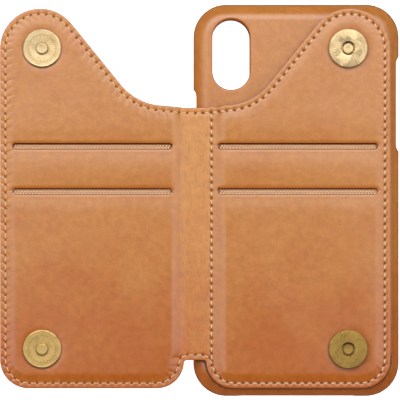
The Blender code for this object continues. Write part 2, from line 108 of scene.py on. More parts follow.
PANEL_EDGE = 4.2 * MM
TAB_RADIUS = 15.2 * MM
SHOULDER_Y = 35.7 * MM
SHOULDER_FILLET = 21.5 * MM
SLOPE_DEGREES = 51
SLOPE_ANGLE = radians(SLOPE_DEGREES)
OUTER_CORNER = 10.8 * MM
INNER_CORNER = 10.2 * MM
NOTCH_FILLET = 1.1 * MM
CASE_CORNER = 12.4 * MM
CASE_EDGE = 6.0 * MM
CAMERA_U = 13.6 * MM
CAMERA_Y = 55.1 * MM
CAMERA_WIDTH = 14.1 * MM
CAMERA_LENGTH = 26.8 * MM
SIDE_CUTS = ((1, 36.3 * MM, 35.4 * MM), (-1, 28.6 * MM, 26.0 * MM))
PORT_CUT = (46.0 * MM, 6.6 * MM)
SLOT_HEIGHTS = (20.3 * MM, 3.3 * MM)
SLOT_U = 38.7 * MM
POCKET_BOTTOMS = (-55.0 * MM, -65.6 * MM)
WASHER_RADIUS = 6.2 * MM
SHANK_RADIUS = 1.1 * MM

SIDES = {"panel": 1, "flap": -1}
BODIES = {"panel": "case", "flap": "flap"}
HALVES = {"panel": ("case", "spine"), "flap": ("spine", "flap")}  # what the spine's halves join
SNAPS = ("upper", "lower")
BEYOND = 1.0  # a u that lies past every edge


# What a user would change --------------------------------------------------------------------


def length(name, description, default):
    return FloatProperty(
        name=name, description=description, default=default, min=0.0, unit="LENGTH",
        precision=5,
    )


def share(name, description, default):
    return FloatProperty(
        name=name, description=description, default=default, min=0.0, max=1.0, subtype="FACTOR"
    )


def colour(name, description, default):
    return FloatVectorProperty(
        name=name, description=description, default=default, size=3, min=0.0, max=1.0,
        subtype="COLOR",
    )


class LeatherSettings(bpy.types.PropertyGroup):
    # tan and deep are also the two ends of the painted light: paler toward the top, deeper toward
    # the bottom
    tan: colour("Tan", "Colour of the leather's flat grain side", (0.425, 0.150, 0.017))
    deep: colour("Deep tan", "Colour of the darker clouds in the leather", (0.375, 0.088, 0.001))
    # this colour is used both for burnish on the cut edges and for painted shade on upper slot lips,
    # round the snaps and on the case's rounded sides
    wear_and_shade_colour: colour("Burnish", "Colour of rubbed slopes and edges", (0.40, 0.086, 0.002))
    cut_edge: colour("Cut edge", "Colour of the leather's cut edges", (0.25, 0.048, 0.002))
    # painted shade: the colour painted into the stitch holes and into the shadow line under the
    # panel's lower edge
    painted_hole_shade: colour("Stitch hole", "Colour inside the stitch holes", (0.11, 0.023, 0.001))
    grain: length("Grain", "Size of the finest grain", 0.42 * MM)
    roughness: share("Roughness", "Roughness of the flat leather", 0.345)


class PanelSettings(bpy.types.PropertyGroup):
    face: length("Face leather", "Thickness of the padded face leather", 0.95 * MM)
    lift: length("Lift", "Filling under the stitched edge", 1.0 * MM)
    horn_lift: length("Horn filling", "Extra filling under the edge of the horns", 0.42 * MM)
    spine_lift: length("Spine filling", "Filling under the spine's leather", 0.35 * MM)
    flange: length("Flange", "Flat stitched edge before the padding rises", 2.3 * MM)
    rise: length("Rise", "Width over which the padding rises", 3.4 * MM)
    puff: length("Puff", "How far the leather sinks beside each card slot", 0.36 * MM)
    hole_depth: length("Hole depth", "Depth of the stitch holes", 0.5 * MM)
    slot_width: length("Slot width", "Width of a card slot", 60.4 * MM)
    slot_opening: length("Slot opening", "Height of a card slot", 2.6 * MM)
    unevenness: length("Unevenness", "Height of the face's slow waves", 0.16 * MM)


class SeamSettings(bpy.types.PropertyGroup):
    inset: length("Inset", "Distance from the leather's edge to the seam", 2.0 * MM)
    stitch: length("Stitch", "Length of one stitch", 2.95 * MM)
    thread: length("Thread", "Radius of the thread", 0.18 * MM)
    hole_length: length("Hole length", "Length of a stitch hole on the panel", 1.3 * MM)
    hole_width: length("Hole width", "Width of a stitch hole on the panel", 0.94 * MM)
    cream: colour("Panel thread", "Colour of the thread on the case's panel", (0.95, 0.76, 0.46))
    gold: colour("Flap thread", "Colour of the thread on the flap", (0.93, 0.65, 0.30))


class ShellSettings(bpy.types.PropertyGroup):
    wrap: length("Wrap", "Thickness of the leather round the shell", 0.5 * MM)
    roll: length("Rolled edge", "Radius of the leather's edge at the camera window", 0.5 * MM)
    shell: colour("Shell", "Colour of the moulded shell", (0.045, 0.018, 0.008))
    lining: colour("Lining", "Colour of the microfibre lining", (0.075, 0.030, 0.014))


class SnapSettings(bpy.types.PropertyGroup):
    steps: IntProperty(
        name="Steps", description="Points round a turned piece", default=96, min=16
    )
    ticks: IntProperty(name="Ticks", description="Raised ticks on a stud's disc", default=44)
    # painted light and shade: pale is the upper snaps' lit look, and warm, with heavy olive tarnish
    # on the cap, makes the lower snaps' shaded copy of the same brass; warm is also the prongs'
    # brass
    pale: colour("Pale brass", "Colour of the rubbed brass", (0.49, 0.365, 0.20))
    warm: colour("Warm brass", "Colour of the brass that is less rubbed", (0.53, 0.355, 0.13))
    olive: colour("Olive brass", "Colour of the tarnished brass", (0.36, 0.23, 0.062))


class StudioSettings(bpy.types.PropertyGroup):
    distance: length("Camera distance", "Height of the camera over the case", 2.0)
    view: length("View", "Side of the square that the camera sees", 150.94 * MM)
    key: FloatProperty(
        name="Key light", description="Power of the large soft light", default=3.75, min=0.0
    )
    fill: FloatProperty(
        name="Side lights", description="Power of each side light", default=1.05, min=0.0
    )
    bounce: FloatProperty(
        name="Front card", description="Power of the card in front", default=0.9, min=0.0
    )
    sky: FloatProperty(
        name="Sky", description="Strength of the light from all round", default=0.045, min=0.0
    )


class WalletSettings(bpy.types.PropertyGroup):
    leather: PointerProperty(type=LeatherSettings)
    panel: PointerProperty(type=PanelSettings)
    seam: PointerProperty(type=SeamSettings)
    shell: PointerProperty(type=ShellSettings)
    snap: PointerProperty(type=SnapSettings)
    studio: PointerProperty(type=StudioSettings)


# Outlines in the plane -----------------------------------------------------------------------


def arc(centre, radius, start, end, steps=24):
    """Points on an arc, both ends included. Angles are in degrees."""
    turn = [radians(start + (end - start) * i / steps) for i in range(steps + 1)]
    return [(centre[0] + radius * cos(a), centre[1] + radius * sin(a)) for a in turn]


def rounded_rectangle(half_x, half_y, radius, centre=(0, 0), steps=24):
    points = []
    for sx, sy, start in ((1, 1, 0), (-1, 1, 90), (-1, -1, 180), (1, -1, 270)):
        corner = (centre[0] + sx * (half_x - radius), centre[1] + sy * (half_y - radius))
        points += arc(corner, radius, start, start + 90, steps)
    return points


def circle(radius, centre, step):
    count = max(12, round(2 * pi * radius / step))
    turn = [2 * pi * i / count for i in range(count)]
    return [(centre[0] + radius * cos(a), centre[1] + radius * sin(a)) for a in turn]


def spaced(points, step, closed=False):
    """Points about one step apart along the line through the given ones."""
    line = np.array(list(points) + ([points[0]] if closed else []), float)
    run = np.concatenate([[0], np.cumsum(np.hypot(*np.diff(line, axis=0).T))])
    count = max(2, round(run[-1] / step))
    places = np.linspace(0, run[-1], count + 1)
    if closed:
        places = places[:-1]
    return list(zip(np.interp(places, run, line[:, 0]), np.interp(places, run, line[:, 1])))


def square_grid(low, high, pitch):
    """Points of a square grid between two corners."""
    across = np.arange(low[0], high[0], pitch)
    return [(x, y) for x in across for y in np.arange(low[1], high[1], pitch)]


def inside(points, polygon):
    """Which of the points lie inside the polygon."""
    x, y = np.array(points, float).T
    found = np.zeros(len(x), bool)
    corners = np.array(polygon, float)
    for (x0, y0), (x1, y1) in zip(corners, np.roll(corners, -1, axis=0)):
        if y0 == y1:
            continue
        crosses = ((y0 > y) != (y1 > y)) & (x < x0 + (y - y0) * (x1 - x0) / (y1 - y0))
        found ^= crosses
    return found


def smooth(t):
    """0 below 0 and 1 above 1, with a smooth step between."""
    t = min(max(t, 0.0), 1.0)
    return t * t * (3 - 2 * t)


def bump(distance, width):
    """1 at distance 0, falling to 0 on both sides like a bell."""
    return exp(-((distance / width) ** 2))


def fade(distance, width, most=1.0):
    """The most at distance 0 and below, falling smoothly to 0 at the width."""
    return most * (1 - smooth(distance / width))


def half_outline():
    """The leather's edge on one side of the fold line, from the spine's lower end round to its
    upper end, counter-clockwise in (u, y)."""
    tab = (PANEL_REACH - TAB_RADIUS, PANEL_TOP - TAB_RADIUS)
    tangent = (tab[0] - TAB_RADIUS * sin(SLOPE_ANGLE), tab[1] + TAB_RADIUS * cos(SLOPE_ANGLE))
    meet = tangent[0] - (tangent[1] - SHOULDER_Y) / tan(SLOPE_ANGLE)
    fillet = (meet - SHOULDER_FILLET * tan(SLOPE_ANGLE / 2), SHOULDER_Y + SHOULDER_FILLET)
    notch = (PANEL_EDGE - NOTCH_FILLET, SPINE_BOTTOM - NOTCH_FILLET)
    inner = (PANEL_EDGE + INNER_CORNER, PANEL_BOTTOM + INNER_CORNER)
    outer = (PANEL_REACH - OUTER_CORNER, PANEL_BOTTOM + OUTER_CORNER)
    points = [(0.0, SPINE_BOTTOM)]
    points += arc(notch, NOTCH_FILLET, 90, 0, 10)
    points += arc(inner, INNER_CORNER, 189, 270)
    points += arc(outer, OUTER_CORNER, 270, 360)
    points += arc(tab, TAB_RADIUS, 0, 90 + SLOPE_DEGREES, 40)
    points += arc(fillet, SHOULDER_FILLET, 270 + SLOPE_DEGREES, 270, 30)
    points += [(PANEL_EDGE, SPINE_TOP), (0.0, SPINE_TOP)]
    return points


class Line:
    """A line in the plane that tells how near a point is to it, and where along it."""

    FINE = 0.06 * MM

    def __init__(self, points):
        self.points = spaced(points, self.FINE)
        self.tree = kdtree.KDTree(len(self.points))
        for i, (u, y) in enumerate(self.points):
            self.tree.insert((u, y, 0), i)
        self.tree.balance()
        places = np.array(self.points)
        step = np.diff(places, axis=0)
        self.run = np.concatenate([[0], np.cumsum(np.hypot(*step.T))])
        padded = np.pad(np.vstack([step, step[-1]]), ((4, 4), (0, 0)), "edge")
        mean = np.ones(9) / 9
        along = np.array([np.convolve(column, mean, "valid") for column in padded.T]).T
        along /= np.hypot(*along.T)[:, None]
        self.normals = np.stack([-along[:, 1], along[:, 0]], axis=1)

    def near(self, u, y):
        """Distance to the line, and how far along it that is."""
        _, index, distance = self.tree.find((u, y, 0))
        return distance, self.run[index]

    def inset(self, distance, step):
        """Points on the line moved to its left by the distance."""
        moved = spaced(np.array(self.points) + distance * self.normals, step)
        return [p for p in moved if self.near(*p)[0] > distance - 0.04 * MM]

    def at(self, run):
        return self.points[min(int(np.searchsorted(self.run, run)), len(self.points) - 1)]

    def heights_at(self, u):
        """The line's lowest and highest y at this u."""
        line = np.array(self.points)
        signs = np.diff(np.sign(line[:, 0] - u)) != 0
        crossings = [line[i, 1] for i in np.flatnonzero(signs)]
        return min(crossings), max(crossings)


# Mesh building -------------------------------------------------------------------------------


def mesh_object(name, points, faces, finish, marks=None, sharp=50):
    """An object from points and faces, shaded smooth. marks are values for its points."""
    mesh = bpy.data.meshes.new(name)
    mesh.from_pydata([tuple(p) for p in points], [], faces)
    mesh.validate()
    for mark, values in (marks or {}).items():
        attribute = mesh.attributes.new(mark, "FLOAT", "POINT")
        attribute.data.foreach_set("value", np.array(values, np.float32))
    fix = bmesh.new()
    fix.from_mesh(mesh)
    bmesh.ops.recalc_face_normals(fix, faces=fix.faces)
    fix.to_mesh(mesh)
    fix.free()
    mesh.shade_smooth()
    mesh.set_sharp_from_angle(angle=radians(sharp))
    mesh.materials.append(finish)
    obj = bpy.data.objects.new(name, mesh)
    bpy.context.scene.collection.objects.link(obj)
    return obj


def settle(obj, sharp=50):
    """Turns the object's modifiers into its mesh."""
    graph = bpy.context.evaluated_depsgraph_get()
    done = bpy.data.meshes.new_from_object(obj.evaluated_get(graph))
    obj.modifiers.clear()
    old = obj.data
    obj.data = done
    bpy.data.meshes.remove(old)
    done.shade_smooth()
    done.set_sharp_from_angle(angle=radians(sharp))
    return obj


def banded(loops, closed=True):
    """Points and quads that join loops of equal count; closed joins the last to the first."""
    points = [p for loop in loops for p in loop]
    count = len(loops[0])
    faces = []
    last = len(loops) if closed else len(loops) - 1
    for k in range(last):
        low, high = k * count, (k + 1) % len(loops) * count
        for i in range(count):
            j = (i + 1) % count
            faces.append((low + i, low + j, high + j, high + i))
    return points, faces


def level(points, z):
    return [(x, y, z) for x, y in points]


def scattered(rows):
    """Points from (points, spacing) rows, each kept only where none before it is too near."""
    cell = 0.3 * MM
    grid = {}
    kept = []
    for points, spacing in rows:
        reach = 0.62 * spacing
        span = int(reach / cell) + 1
        for x, y in points:
            cx, cy = int(x // cell), int(y // cell)
            clash = False
            for i in range(cx - span, cx + span + 1):
                for j in range(cy - span, cy + span + 1):
                    for k in grid.get((i, j), ()):
                        if hypot(kept[k][0] - x, kept[k][1] - y) < reach:
                            clash = True
            if clash:
                continue
            grid.setdefault((cx, cy), []).append(len(kept))
            kept.append((x, y))
    return kept


def triangles_between(boundary, holes, rows):
    """Points and triangles that fill a boundary, leaving out the holes. rows are further points
    inside it, as (points, spacing)."""
    fixed = list(boundary)
    links = [(i, (i + 1) % len(boundary)) for i in range(len(boundary))]
    for hole in holes:
        start = len(fixed)
        fixed += hole
        links += [(start + i, start + (i + 1) % len(hole)) for i in range(len(hole))]
    free = scattered([(fixed, 0.0)] + rows)[len(fixed):]
    free = np.array(free)
    keep = inside(free, boundary)
    for hole in holes:
        keep &= ~inside(free, hole)
    everything = [Vector(p) for p in fixed] + [Vector(p) for p in free[keep]]
    found = geometry.delaunay_2d_cdt(everything, links, [], 0, 1e-9, False)
    points = [(p.x, p.y) for p in found[0]]
    middles = [np.mean([points[i] for i in face], axis=0) for face in found[2]]
    wanted = inside(middles, boundary)
    for hole in holes:
        wanted &= ~inside(middles, hole)
    return points, [tuple(face) for face, use in zip(found[2], wanted) if use]


def two_sided(name, points, faces, top, bottom, side, finish, marks):
    """A closed sheet of leather from triangles in (u, y): top and bottom give its heights."""
    count = len(points)
    upper = [(FOLD_X + side * u, y, top(u, y)) for u, y in points]
    lower = [(FOLD_X + side * u, y, bottom(u, y)) for u, y in points]
    seen = {}
    for face in faces:
        for i in range(len(face)):
            pair = (face[i], face[(i + 1) % len(face)])
            seen[pair] = seen.get(pair, 0) + 1
    rim = [pair for pair in seen if (pair[1], pair[0]) not in seen]
    solid = list(faces) + [tuple(i + count for i in reversed(face)) for face in faces]
    solid += [(b, a, a + count, b + count) for a, b in rim]
    values = {mark: [read(u, y) for u, y in points] for mark, read in marks.items()}
    for mark in values:
        values[mark] = values[mark] + [0.0] * count
    outline = [1.0 if EDGES.near(u, y)[0] < 0.05 * MM else 0.0 for u, y in points]
    values["cut"] = outline * 2
    return mesh_object(name, upper + lower, solid, finish, values, sharp=55)


def turned(name, profile, centre, finish, steps, sharp=35):
    """A round piece: the closed (radius, height) profile swept about a vertical axis."""
    points, rows = [], []
    for radius, height in profile:
        if radius == 0:
            rows.append([len(points)] * steps)
            points.append((centre[0], centre[1], height))
            continue
        rows.append(list(range(len(points), len(points) + steps)))
        for i in range(steps):
            a = 2 * pi * i / steps
            points.append((centre[0] + radius * cos(a), centre[1] + radius * sin(a), height))
    faces = []
    for k, row in enumerate(rows):
        following = rows[(k + 1) % len(rows)]
        for i in range(steps):
            j = (i + 1) % steps
            corners = tuple(dict.fromkeys((row[i], row[j], following[j], following[i])))
            if len(corners) > 2:
                faces.append(corners)
    return mesh_object(name, points, faces, finish, sharp=sharp)


def capped(loops):
    """A hidden tool between two loops, closed at both ends."""
    points, faces = banded(loops, closed=False)
    count = len(loops[0])
    faces += [tuple(range(count)), tuple(range(count, 2 * count))]
    obj = mesh_object("cutter", points, faces, None)
    obj.hide_render = True
    return obj


def cut(obj, tools):
    """Takes the tools' shapes away from the object, and removes the tools."""
    for tool in tools:
        boolean = obj.modifiers.new("cut", "BOOLEAN")
        boolean.operation = "DIFFERENCE"
        boolean.solver = "EXACT"
        boolean.object = tool
    settle(obj)
    for tool in tools:
        bpy.data.objects.remove(tool)


def soften(obj, width):
    """Breaks the object's sharp edges with a narrow bevel."""
    bevel = obj.modifiers.new("soft", "BEVEL")
    bevel.width = width
    bevel.segments = 2
    bevel.limit_method = "ANGLE"
    bevel.angle_limit = radians(60)
    settle(obj, 40)


# Shader building -----------------------------------------------------------------------------


class Wire:
    """An output of a shader node. Arithmetic on it adds the nodes that work it out."""

    def __init__(self, finish, output):
        self.finish = finish
        self.output = output

    def _with(self, operation, other, swapped=False):
        first, second = (other, self) if swapped else (self, other)
        kinds = {w.output.type for w in (first, second) if isinstance(w, Wire)}
        if "VECTOR" in kinds:
            return self.finish.add("VectorMath", {"operation": operation}, {0: first, 1: second})
        if "RGBA" in kinds:
            settings = {"data_type": "RGBA", "blend_type": operation, "clamp_factor": False}
            return self.finish.add("Mix", settings, {0: 1.0, 6: first, 7: second}, 2)
        return self.finish.add("Math", {"operation": operation}, {0: first, 1: second})

    def __add__(self, other):
        return self._with("ADD", other)

    __radd__ = __add__

    def __sub__(self, other):
        return self._with("SUBTRACT", other)

    def __rsub__(self, other):
        return self._with("SUBTRACT", other, swapped=True)

    def __mul__(self, other):
        return self._with("MULTIPLY", other)

    __rmul__ = __mul__

    def at_most(self, other):
        return self._with("MINIMUM", other)

    def at_least(self, other):
        return self._with("MAXIMUM", other)

    def wave(self):
        return self.finish.add("Math", {"operation": "SINE"}, {0: self})

    def mix(self, low, high):
        """low where this is 0 and high where it is 1, both colours."""
        settings = {"data_type": "RGBA", "clamp_factor": True}
        return self.finish.add("Mix", settings, {0: self, 6: low, 7: high}, 2)

    def between(self, low, high, to_low=0.0, to_high=1.0):
        """Spreads the range from low to high over another range, clamped and smoothed."""
        return self.finish.add(
            "MapRange",
            {"interpolation_type": "SMOOTHSTEP"},
            {0: self, 1: low, 2: high, 3: to_low, 4: to_high},
        )

    def part(self, axis):
        return self.finish.add("SeparateXYZ", {}, {0: self}, axis)


class Finish:
    """A material whose nodes are written as Python expressions."""

    def __init__(self, name):
        self.material = bpy.data.materials.new(name)
        self.material.use_nodes = True
        self.tree = self.material.node_tree
        self.shader = self.tree.nodes["Principled BSDF"]
        self.place = self.add("TexCoord", {}, {}, 3) * (1 / MM)

    def add(self, kind, settings, sockets, output=0):
        """Adds a node: its type, its settings, and the values or wires of its sockets."""
        node = self.tree.nodes.new("ShaderNode" + kind)
        for name, value in settings.items():
            setattr(node, name, value)
        for key, value in sockets.items():
            self.feed(node.inputs[key], value)
        return Wire(self, node.outputs[output])

    def feed(self, socket, value):
        if isinstance(value, Wire):
            self.tree.links.new(value.output, socket)
        elif socket.type == "RGBA":
            shades = (value,) * 3 if isinstance(value, (int, float)) else tuple(value)[:3]
            socket.default_value = (*shades, 1.0)
        elif socket.type == "VECTOR" and isinstance(value, (int, float)):
            socket.default_value = (value,) * 3
        else:
            socket.default_value = value

    def set(self, **values):
        """Sets the shader's own sockets, named with underscores for spaces."""
        for name, value in values.items():
            self.feed(self.shader.inputs[name.replace("_", " ")], value)
        return self

    def mark(self, name):
        """A value that the mesh holds for each of its points."""
        return self.add("Attribute", {"attribute_name": name}, {}, 2)

    def noise(self, size, detail=2.0, rough=0.5, stretch=None):
        """Clouds of this size in millimetres, from 0 to 1 about 0.5."""
        where = self.place * stretch if stretch else self.place
        sockets = {"Vector": where, "Scale": 1 / size, "Detail": detail, "Roughness": rough}
        return self.add("TexNoise", {}, sockets, 0)

    def cells(self, size, feature="F1", output=0):
        """Scattered cells of this size in millimetres: distances, or with output 1 a colour each."""
        sockets = {"Vector": self.place, "Scale": 1 / size}
        return self.add("TexVoronoi", {"feature": feature}, sockets, output)

    def bumps(self, height, depth, strength=1.0, before=None):
        """A bumped normal: height is a wire from 0 to 1, depth is in millimetres."""
        sockets = {"Strength": strength, "Distance": depth * MM, "Height": height}
        if before is not None:
            sockets["Normal"] = before
        return self.add("Bump", {}, sockets)


def leather(name, settings, crease=0.0, fine=1.0, tint=1.0, smoothness=0.0):
    """Pull-up leather: cloudy tan, burnished darker on its edges, with fine grain and with painted
    shade in its stitch holes and on slopes and lips. Its colour is painted paler toward the top and
    deeper toward its lower end, standing in for the top light's sheen, and it's a little smoother
    toward its lower end. crease adds the short upright wrinkles of the spine, with painted
    highlights on their tops and painted shade between them."""
    finish = Finish(name)
    # painted light: the colour is painted paler toward the top and deeper toward the bottom,
    # standing in for the top light's sheen
    painted_top_light = finish.place.part(1).between(-82.0, 8.0, -0.42, 0.25)
    clouds = (finish.noise(17.0, 3.0, 0.55) + painted_top_light).between(0.05, 0.85)
    mottle = finish.noise(2.6, 4.0, 0.6)
    fibre = finish.noise(0.55, 3.0, 0.6)
    tan_shade = tuple(c * tint for c in settings.tan)
    deep_shade = tuple(c * tint for c in settings.deep)
    base = clouds.mix(deep_shade, tan_shade)
    base = base * mottle.between(0.25, 0.75).mix((0.90, 0.88, 0.84), (1.08, 1.10, 1.14))
    base = base * fibre.between(0.3, 0.7).mix((0.94, 0.92, 0.88), (1.05, 1.06, 1.10))
    # this mark holds real burnish on the cut edges and painted shade on upper slot lips, round the
    # snaps and on the case's rounded sides
    rubbed = finish.mark("rubbed") * finish.noise(5.0, 3.0).between(0.2, 0.7, 0.55, 1.0)
    base = rubbed.mix(base, settings.wear_and_shade_colour)
    base = finish.mark("cut").between(0.35, 0.9).mix(base, settings.cut_edge)
    # painted shade: stitch holes, and the line under the panel's lower edge, take the dark hole
    # colour
    hole = finish.mark("hole").between(0.3, 0.75)
    base = hole.mix(base, settings.painted_hole_shade)
    pores = finish.cells(settings.grain / MM, "SMOOTH_F1")
    grain = pores * 0.6 + fibre * 0.4
    normal = finish.bumps(grain, 0.034 * fine, 0.7)
    soft = finish.noise(3.4, 3.0, 0.55)
    normal = finish.bumps(soft, 0.07 * fine, 0.5, normal)
    if crease:
        wrinkles = finish.noise(1.5, 4.0, 0.62, stretch=(1.5, 0.42, 1.0))
        normal = finish.bumps(wrinkles, 0.3 * crease, 0.75, normal)
        # painted highlight and shade: the wrinkles' tops are painted lighter and the hollows between
        # them darker
        painted_wrinkle_light = wrinkles.between(0.32, 0.5)
        base = painted_wrinkle_light.mix((0.88, 0.86, 0.80), (1.04, 1.12, 1.04)) * base
    rough = mottle.between(0.2, 0.8, settings.roughness - 0.02, settings.roughness + 0.03)
    polish = finish.place.part(1).between(-75.0, 45.0, 0.05, 0.0)
    rough = (rough - polish - smoothness + hole * 0.4).at_most(1.0)
    finish.set(
        Base_Color=base, Roughness=rough, Normal=normal, Specular_IOR_Level=0.85,
    )
    return finish.material


def thread_finish(name, shade):
    """Two-ply waxed thread: "run" is the length along it and "turn" the angle round it."""
    finish = Finish(name)
    ply = (finish.mark("run") * (2 * pi / 0.62) + finish.mark("turn") * 2.0).wave() * 0.5 + 0.5
    fibre = finish.noise(0.16, 2.0, 0.6)
    dark = tuple(c * f for c, f in zip(shade, (0.62, 0.48, 0.34)))
    base = (ply * 0.75 + fibre * 0.25).between(0.12, 0.62).mix(dark, shade)
    # painted shade: the thread's ends, where it dives into its hole, are painted dark
    base = finish.mark("tuck").between(0.0, 1.0).mix(base, tuple(c * 0.3 for c in dark))
    finish.set(
        Base_Color=base, Roughness=0.62, Normal=finish.bumps(ply, 0.07, 0.8),
        Sheen_Weight=0.2,
    )
    return finish.material


def cloth_finish():
    """Ribbed lining cloth: short light floats in staggered rows on a tan ground."""
    finish = Finish("pocket_cloth")
    pitch_x, pitch_y = 1.16, 0.72
    across = finish.place.part(0) * (2 * pi / pitch_x)
    along = finish.place.part(1) * (pi / pitch_y)
    warp = (across + along.wave() * 0.25).wave()
    weft = along.wave()
    floats = warp * weft
    dots = floats.between(0.05, 0.45)
    wander = finish.noise(1.6, 2.0)
    ground = wander.between(0.3, 0.7).mix((0.20, 0.050, 0.010), (0.32, 0.10, 0.025))
    base = dots.mix(ground, (0.95, 0.72, 0.47))
    # painted shade: the cloth inside the pocket is painted dark
    base = finish.mark("deep").mix(base, (0.085, 0.020, 0.004))
    finish.set(
        Base_Color=base, Roughness=0.85, Normal=finish.bumps(floats, 0.06, 0.8),
        Specular_IOR_Level=0.1,
    )
    return finish.material


def lining_finish(settings):
    """Brushed microfibre with a short nap."""
    finish = Finish("microfibre")
    nap = finish.noise(0.5, 3.0, 0.7)
    brushed = finish.noise(9.0, 2.0, 0.5, stretch=(1.0, 0.35, 1.0))
    shade = settings.lining
    light = tuple(c * 1.9 for c in shade)
    base = (nap * 0.55 + brushed * 0.45).between(0.35, 0.65).mix(shade, light)
    finish.set(
        Base_Color=base, Roughness=0.95, Normal=finish.bumps(nap, 0.08, 0.7),
        Sheen_Weight=0.5, Sheen_Roughness=0.45, Specular_IOR_Level=0.15,
    )
    return finish.material


def shell_finish(settings):
    """Dark moulded plastic, spark-textured."""
    finish = Finish("moulded_shell")
    spark = finish.noise(0.22, 2.0, 0.6)
    flow = finish.noise(14.0, 2.0)
    shade = settings.shell
    base = flow.between(0.3, 0.7).mix(shade, tuple(c * 1.35 for c in shade))
    rough = spark.between(0.3, 0.7, 0.36, 0.5)
    finish.set(
        Base_Color=base, Roughness=rough, Normal=finish.bumps(spark, 0.025, 0.6),
        Specular_IOR_Level=0.5,
    )
    return finish.material


def board_finish():
    """Pressed fibre board with lighter flecks."""
    finish = Finish("fibre_board")
    fibres = finish.noise(0.9, 4.0, 0.65, stretch=(1.0, 0.3, 1.0))
    flecks = finish.cells(1.7).between(0.1, 0.32)
    base = fibres.between(0.3, 0.7).mix((0.13, 0.085, 0.05), (0.25, 0.18, 0.11))
    base = flecks.mix((0.34, 0.27, 0.18), base)
    finish.set(Base_Color=base, Roughness=0.9, Normal=finish.bumps(fibres, 0.05, 0.7))
    return finish.material


def brass_finish(name, bright, olive, tarnish, hatch, worn=0.5):
    """Antique brass. tarnish sets how much of it is olive, hatch the strength of the fine
    brushed lines, which turn from patch to patch as on a tumbled piece, and worn how dull it
    is."""
    finish = Finish(name)
    patch = finish.cells(2.3, output=1)
    angle = patch.part(0) * 6.0
    x, y = finish.place.part(0), finish.place.part(1)
    cosine = (angle + pi / 2).wave()
    sine = angle.wave()
    lines = ((x * cosine + y * sine) * (2 * pi / 0.78)).wave() * 0.5 + 0.5
    stain = finish.noise(2.2, 4.0, 0.62)
    specks = finish.noise(0.45, 3.0, 0.7)
    dull = (stain * 0.65 + specks * 0.35).between(0.62 - 0.45 * tarnish, 0.86 - 0.45 * tarnish)
    cracks = finish.cells(2.4, "DISTANCE_TO_EDGE").between(0.0, 0.05)
    cracks = cracks.at_least(finish.noise(1.6).between(0.42, 0.55))
    base = dull.mix(bright, olive)
    base = base * cracks.mix((1 - 0.42 * tarnish,) * 3, (1.0, 1.0, 1.0))
    base = base * patch.part(1).between(0.0, 1.0).mix((0.93, 0.92, 0.90), (1.05, 1.05, 1.05))
    valley = (1 - 0.14 * hatch, 1 - 0.16 * hatch, 1 - 0.22 * hatch)
    base = base * lines.mix(valley, (1.04, 1.04, 1.06))
    rough = dull.between(0.0, 1.0, 0.28 + 0.1 * worn, 0.46 + 0.1 * worn) + lines * (0.08 * hatch)
    surface = finish.add("NewGeometry", {}, {}, 1)
    tilt = (patch - 0.5) * (0.11 * hatch)
    facet = finish.add("VectorMath", {"operation": "NORMALIZE"}, {0: surface + tilt})
    normal = finish.bumps(lines, 0.022, 0.9 * hatch, facet)
    normal = finish.bumps(specks, 0.02, 0.5, normal)
    finish.set(Base_Color=base, Metallic=1.0, Roughness=rough, Normal=normal)
    return finish.material


def magnet_finish():
    """Dull grey ferrite."""
    finish = Finish("ferrite")
    grit = finish.noise(0.3, 3.0, 0.7)
    base = grit.between(0.3, 0.7).mix((0.035, 0.035, 0.038), (0.085, 0.085, 0.09))
    finish.set(
        Base_Color=base, Metallic=0.6, Roughness=grit.between(0.2, 0.8, 0.4, 0.65),
        Normal=finish.bumps(grit, 0.02, 0.5),
    )
    return finish.material


# The padded card panels ----------------------------------------------------------------------


